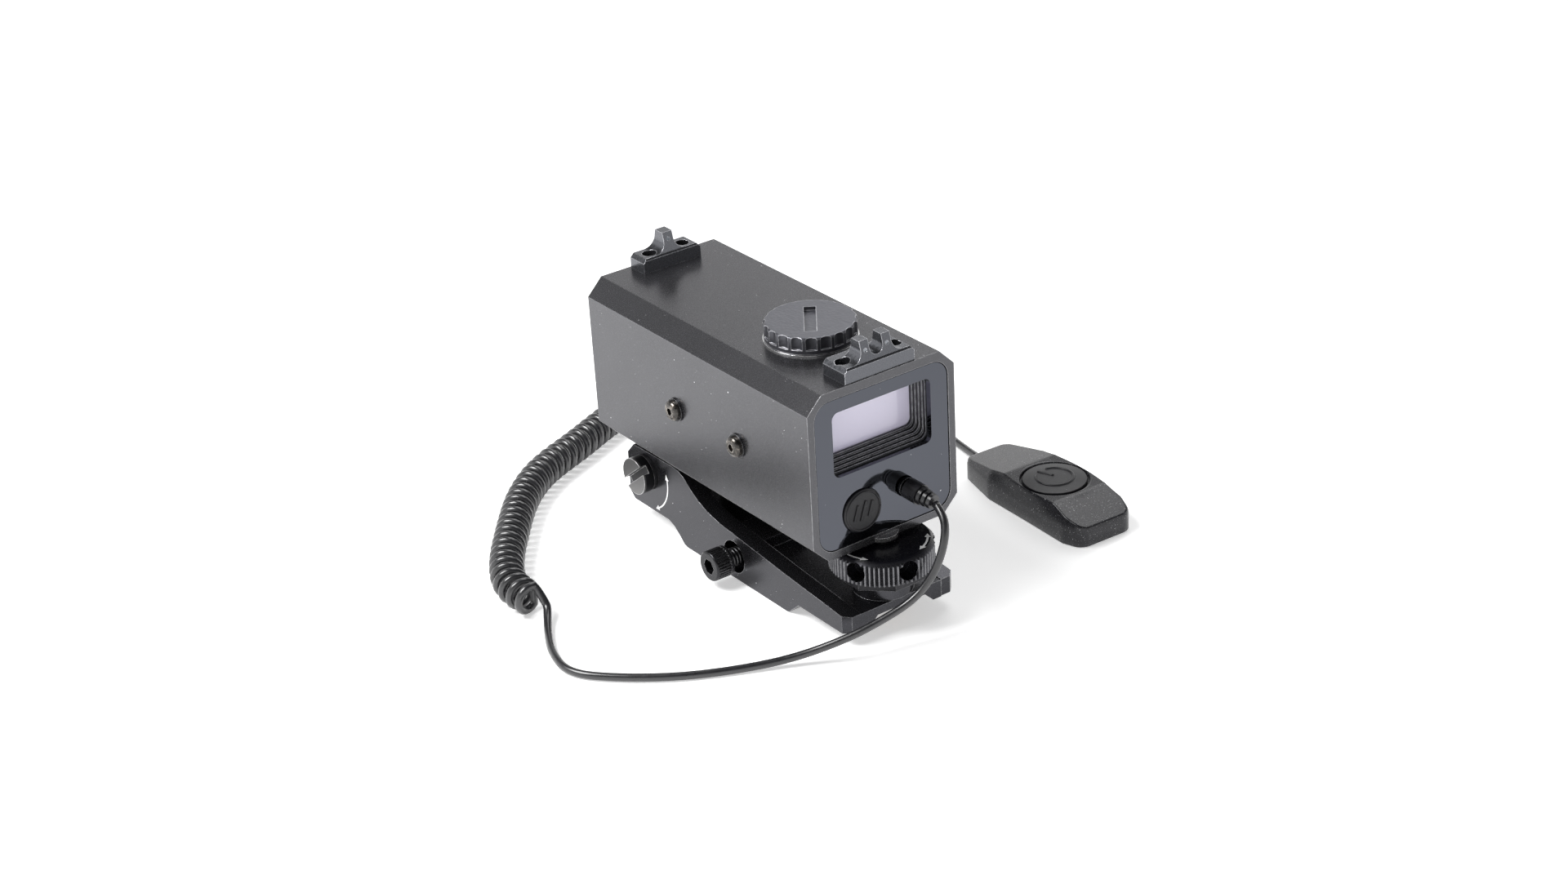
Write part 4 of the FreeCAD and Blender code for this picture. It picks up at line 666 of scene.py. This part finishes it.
def coil_line():
    """The helix that the lead is wound into, about the middle line of its route."""
    axis = evenly(line_of("coil_axis", COIL_ROUTE, 16), COIL_PITCH / TURN_POINTS)
    ways = directions(axis)
    radius = COIL_R - CORD_R
    points = []
    side = Vector((1, 0, 0))
    for k, (centre, along) in enumerate(zip(axis, ways)):
        side = (side - along * side.dot(along)).normalized()
        other = along.cross(side)
        turn = -math.tau * k / TURN_POINTS
        points.append(centre + (side * math.cos(turn) + other * math.sin(turn)) * radius)
    return points


def eased(points, centre, reach, passes):
    """Softens the line near one point, where the straight lead turns into the helix."""
    near = [k for k in range(1, len(points) - 1) if (points[k] - centre).length < reach]
    for _ in range(passes):
        moved = {k: (points[k - 1] + points[k + 1]) * 0.5 for k in near}
        for k in near:
            weight = 1 - (points[k] - centre).length / reach
            points[k] = points[k].lerp(moved[k], max(0.0, min(1.0, weight * 1.5)))
    return points


def remote_lead(material):
    """One piece from the plug's boot to the pad: straight, curly, straight."""
    front = evenly(line_of("front_line", FRONT_ROUTE, 24), LEAD_STEP)
    back = evenly(line_of("back_line", BACK_ROUTE, 24), LEAD_STEP)
    coil = coil_line()
    points = front + coil + back
    points = eased(points, coil[0], JOIN_REACH, JOIN_PASSES)
    points = eased(points, coil[-1], JOIN_REACH, JOIN_PASSES)
    vertices, faces = tube_mesh(points, CORD_R, LEAD_SIDES)
    lead = new_piece("remote_lead", vertices, faces, material)
    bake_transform(lead)
    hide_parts("cord_lead_front", "cord_coil", "cord_lead_back")


# ---- marks on the wheel, the ear and the buttons --------------------------------------
INK_GAP = 0.005
INK_THICK = 0.02
WHEEL_ARROW_R = 12.0
EAR_FACE_X = -18.1
EAR_ARROW_CENTRE = (41.0, 9.8)
EAR_ARROW_R = 10.6
BAR_TURN = math.radians(68)
BAR_APART = 2.3
BAR_HEIGHT = 0.3
MODE_RIM_R = 5.35
MODE_RIM_TUBE_R = 0.28
THREAD_PITCH = 1.0
THREAD_ROOT_R = 2.38
THREAD_CREST_R = 2.62
THREAD_TURNS = 7
CLAMP_HEAD_L = 5.0


def arc_strip(centre, radius, turns, width, steps=28):
    """Outer and inner edge points of a bent strip in a plane: (outer, inner) for each step."""
    pairs = []
    for k in range(steps + 1):
        turn = math.radians(turns[0] + (turns[1] - turns[0]) * k / steps)
        way = Vector((math.cos(turn), math.sin(turn)))
        pairs.append((centre + way * (radius + width / 2), centre + way * (radius - width / 2)))
    return pairs


def arrow_shape(centre, radius, turns, width, heads, head_l, head_w):
    """Flat points and faces of a bent arrow, with a head at the ends that are named."""
    centre = Vector(centre)
    lean = math.degrees(head_l / radius) * (1 if turns[1] > turns[0] else -1)
    start = turns[0] + (lean if "start" in heads else 0)
    end = turns[1] - (lean if "end" in heads else 0)
    points = []
    faces = []
    for outer, inner in arc_strip(centre, radius, (start, end), width):
        points += [outer, inner]
    for k in range(0, len(points) - 2, 2):
        faces.append((k, k + 1, k + 3, k + 2))
    for name, foot, tip in (("start", start, turns[0]), ("end", end, turns[1])):
        if name not in heads:
            continue
        first = len(points)
        for turn, out in ((foot, head_w / 2), (foot, -head_w / 2), (tip, 0)):
            way = Vector((math.cos(math.radians(turn)), math.sin(math.radians(turn))))
            points.append(centre + way * (radius + out))
        faces.append((first, first + 1, first + 2))
    return points, faces


def raised(points, faces, thickness, place):
    """Thickens flat points into a thin plate; place turns (u, v, w) into X, Y, Z."""
    count = len(points)
    vertices = [place(u, v, 0) for u, v in points] + [place(u, v, thickness) for u, v in points]
    solid = [tuple(reversed(face)) for face in faces]
    solid += [tuple(k + count for k in face) for face in faces]
    uses = {}
    for face in faces:
        for a, b in zip(face, face[1:] + face[:1]):
            uses[(a, b)] = True
    for a, b in uses:
        if (b, a) not in uses:
            solid.append((a, b, b + count, a + count))
    return [Vector(v) * MM for v in vertices], solid


def mark(name, body, shape, thickness, place, material):
    vertices, faces = raised(*shape, thickness, place)
    piece = new_piece(name, vertices, faces, material, smooth=False)
    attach(piece, body)
    return piece


def add_arrows(ink):

    def on_wheel(u, v, w):
        return (u, v, WHEEL_TOP_Z + INK_GAP + w)

    def on_ear(u, v, w):
        return (EAR_FACE_X - INK_GAP - w, u, v)

    centre = (0, WHEEL_AXIS_Y)
    single = arrow_shape(centre, WHEEL_ARROW_R, (185.6, 215.4), 0.55, ("end",), 1.9, 1.7)
    double = arrow_shape(centre, WHEEL_ARROW_R, (-31.6, -73.7), 0.55, ("start", "end"), 1.9, 1.7)
    ear = arrow_shape(EAR_ARROW_CENTRE, EAR_ARROW_R, (163.0, 249.0), 0.46, ("start", "end"),
                      1.8, 1.6)
    mark("wheel_arrow_single", "elevation_wheel", single, INK_THICK, on_wheel, ink)
    mark("wheel_arrow_double", "elevation_wheel", double, INK_THICK, on_wheel, ink)
    mark("ear_arrow", "base", ear, INK_THICK, on_ear, ink)


def slanted_bar(centre, length, width, turn):
    """Corner points of one flat bar with cut ends, and its face."""
    along = Vector((math.cos(turn), math.sin(turn)))
    across = Vector((-along.y, along.x))
    points = []
    for a, b in ((-1, -1), (1, -0.4), (1, 1), (-1, 0.4)):
        points.append(Vector(centre) + along * (a * length / 2) + across * (b * width / 2))
    return points, [(0, 1, 2, 3)]


def add_mode_mark(material):
    """Three short bars and a low rim, raised on the mode button."""
    low, high = (Vector(corner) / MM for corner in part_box("mode_button"))
    centre = Vector(((low.x + high.x) / 2, (low.z + high.z) / 2))
    face = low.y

    def on_button(u, v, w):
        return (u, face + 0.02 - w, v)

    for k in range(3):
        middle = centre + Vector((BAR_APART * (k - 1), 0))
        bar = slanted_bar(middle, 5.6 if k == 1 else 4.4, 1.0, BAR_TURN)
        mark("mode_bar_%d" % (k + 1), "mode_button", bar, BAR_HEIGHT, on_button, material)
    rim = []
    for k in range(65):
        turn = math.tau * k / 64
        rim.append(centre + Vector((math.cos(turn), math.sin(turn))) * MODE_RIM_R)
    line = [Vector(on_button(p.x, p.y, 0.05)) * MM for p in rim]
    vertices, faces = tube_mesh(line, MODE_RIM_TUBE_R * MM, 8)
    ring = new_piece("mode_rim", vertices, faces, material)
    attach(ring, "mode_button")


def add_clamp_thread(material):
    """The thread of the clamp screw, where it shows between the head and the wall."""
    low, high = (Vector(corner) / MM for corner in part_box("clamp_screw"))
    middle_y = (low.y + high.y) / 2
    middle_z = (low.z + high.z) / 2
    under_head = low.x + CLAMP_HEAD_L
    around = 32
    profile = ((0.0, THREAD_ROOT_R), (0.32, THREAD_CREST_R), (0.50, THREAD_CREST_R),
               (0.82, THREAD_ROOT_R))
    vertices = []
    for k in range(THREAD_TURNS * around + 1):
        turn = math.tau * k / around
        x = under_head + THREAD_PITCH * k / around
        for dx, r in profile:
            vertices.append(Vector((x + dx, middle_y + r * math.cos(turn),
                                    middle_z + r * math.sin(turn))) * MM)
    faces = []
    for k in range(THREAD_TURNS * around):
        for j in range(3):
            a = k * 4 + j
            faces.append((a, a + 4, a + 5, a + 1))
    last = THREAD_TURNS * around * 4
    faces.append((0, 1, 2, 3))
    faces.append((last + 3, last + 2, last + 1, last))
    thread = new_piece("clamp_thread", vertices, faces, material)
    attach(thread, "clamp_screw")


# ---- the remote switch's shell ----------------------------------------------------------
PAD_CENTRE = Vector((71.5, -23.75, -6.4))
PAD_TURN = math.radians(-2.5)
PAD_WIDTHS = ((-27.0, 8.6), (-21.0, 10.8), (12.0, 10.8), (27.0, 7.6))
PAD_END = 27.0
PAD_CORNER = 2.6
PAD_WALL = 5.6
PAD_BUTTON_Y = -4.5
PAD_RIM = 9.95
PAD_TOP = 9.75
PAD_END_TOP = 6.0            # height of the slopes at both ends
NEAR_RISE = 0.31
FAR_RISE = 0.185
COLLAR_FALL = 0.9
EDGE_ROUND = 0.7
POWER_GAP_TURN = math.radians(108)
POWER_RING_R = 5.2
POWER_LINE_R = 0.45
BUTTON_R = 8.9
BUTTON_CROWN = 0.8
BUTTON_TOP = 10.6


def pad_place(x, y, z):
    """From the pad's own middle to where it lies, in metres."""
    across = x * math.cos(PAD_TURN) - y * math.sin(PAD_TURN)
    along = x * math.sin(PAD_TURN) + y * math.cos(PAD_TURN)
    return (PAD_CENTRE + Vector((across, along, z))) * MM


def pad_half_width(y):
    half = 0.0
    for (y0, w0), (y1, w1) in zip(PAD_WIDTHS, PAD_WIDTHS[1:]):
        if y0 <= y <= y1:
            half = w0 + (w1 - w0) * (y - y0) / (y1 - y0)
    over = abs(y) - (PAD_END - PAD_CORNER)
    if over > 0:
        half -= PAD_CORNER - math.sqrt(max(0.0, PAD_CORNER ** 2 - over ** 2))
    return half


def pad_reach(way):
    """How far the pad goes from the button's middle in one direction."""
    low, high = 9.0, 40.0
    for _ in range(30):
        middle = (low + high) / 2
        x = way.x * middle
        y = PAD_BUTTON_Y + way.y * middle
        if abs(y) < PAD_END and abs(x) < pad_half_width(y):
            low = middle
        else:
            high = middle
    return low


def soft_min(a, b, blend):
    h = max(0.0, min(1.0, 0.5 + 0.5 * (b - a) / blend))
    return b * (1 - h) + a * h - blend * h * (1 - h)


def pad_height(x, y):
    """Flat slopes from both ends up to a collar round the button, with steep sides."""
    from_button = math.hypot(x, y - PAD_BUTTON_Y)
    near_slope = PAD_END_TOP + (y + PAD_END) * NEAR_RISE
    far_slope = PAD_END_TOP + (PAD_END - y) * FAR_RISE
    slope = min(near_slope, far_slope)
    collar = PAD_TOP - max(0.0, from_button - PAD_RIM) * COLLAR_FALL
    top = -soft_min(-slope, -collar, 1.6)
    top = min(top, PAD_TOP)
    steep = 2.3 + 2.9 * math.exp(-((y - PAD_BUTTON_Y) / 8.0) ** 2)
    side_room = pad_half_width(y) - abs(x)
    room = min(side_room, PAD_END - abs(y) + 0.3)
    height = soft_min(top, PAD_WALL + max(0.0, side_room) * steep, 0.9)
    height = max(height, PAD_WALL)
    inward = EDGE_ROUND - max(0.0, min(EDGE_ROUND, room))
    return height - (EDGE_ROUND - math.sqrt(EDGE_ROUND ** 2 - inward ** 2))


def remote_shell_piece(material):
    """Smooth shell, laid out in spokes from the ring round the button to the outline."""
    spokes = 288
    steps = 26
    inner = [(9.05, 5.4), (9.05, 8.7), (9.2, 8.6), (9.55, 8.6), (9.72, 8.75), (9.78, 9.5),
             (9.86, 9.68)]
    vertices = []
    for k in range(spokes):
        turn = math.tau * k / spokes
        way = Vector((math.cos(turn), math.sin(turn)))
        reach = pad_reach(way)
        for r, z in inner:
            vertices.append(pad_place(way.x * r, PAD_BUTTON_Y + way.y * r, z))
        for j in range(steps + 1):
            t = j / steps
            share = 1 - (1 - t) ** 1.35
            r = PAD_RIM + (reach - PAD_RIM) * share
            x = way.x * r
            y = PAD_BUTTON_Y + way.y * r
            vertices.append(pad_place(x, y, pad_height(x, y)))
        for r, z in ((reach, 3.0), (reach, 0.35), (reach - 0.35, 0), (reach - 1.35, 0)):
            vertices.append(pad_place(way.x * r, PAD_BUTTON_Y + way.y * r, z))
    row = len(vertices) // spokes
    faces = []
    for k in range(spokes):
        a = k * row
        b = ((k + 1) % spokes) * row
        for j in range(row - 1):
            faces.append((a + j, a + j + 1, b + j + 1, b + j))
    shell = new_piece("remote_shell_top", vertices, faces, material)
    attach(shell, "base")
    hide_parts("remote_shell")
    return shell


def add_power_mark(material):
    """A broken ring and a bar, raised a little on the remote button."""
    pieces = []
    crown_r = (BUTTON_R ** 2 + BUTTON_CROWN ** 2) / (2 * BUTTON_CROWN)

    def on_top(x, y):
        z = BUTTON_TOP - crown_r + math.sqrt(crown_r ** 2 - x * x - y * y)
        return pad_place(x, PAD_BUTTON_Y + y, z - 0.08)

    ring = []
    for k in range(49):
        turn = POWER_GAP_TURN + math.radians(28 + 304 * k / 48)
        ring.append(on_top(POWER_RING_R * math.cos(turn), POWER_RING_R * math.sin(turn)))
    bar = []
    for k in range(9):
        r = 0.4 + POWER_RING_R * k / 8
        bar.append(on_top(r * math.cos(POWER_GAP_TURN), r * math.sin(POWER_GAP_TURN)))
    for name, line in (("power_ring", ring), ("power_bar", bar)):
        vertices, faces = tube_mesh(line, POWER_LINE_R * MM, 8)
        piece = new_piece(name, vertices, faces, material)
        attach(piece, "remote_button")
        pieces.append(piece)
    return pieces


add_camera()
add_studio()
add_floor()
finishes = paint_nodes()
add_arrows(white_ink())
add_mode_mark(finishes["mode_button"])
add_clamp_thread(bright_metal("screw_thread", (0.07, 0.07, 0.072), 0.3))
shell_pieces = [remote_shell_piece(finishes["remote_shell"])]
shell_pieces += add_power_mark(finishes["remote_button"])
remote_lead(finishes["cord_coil"])
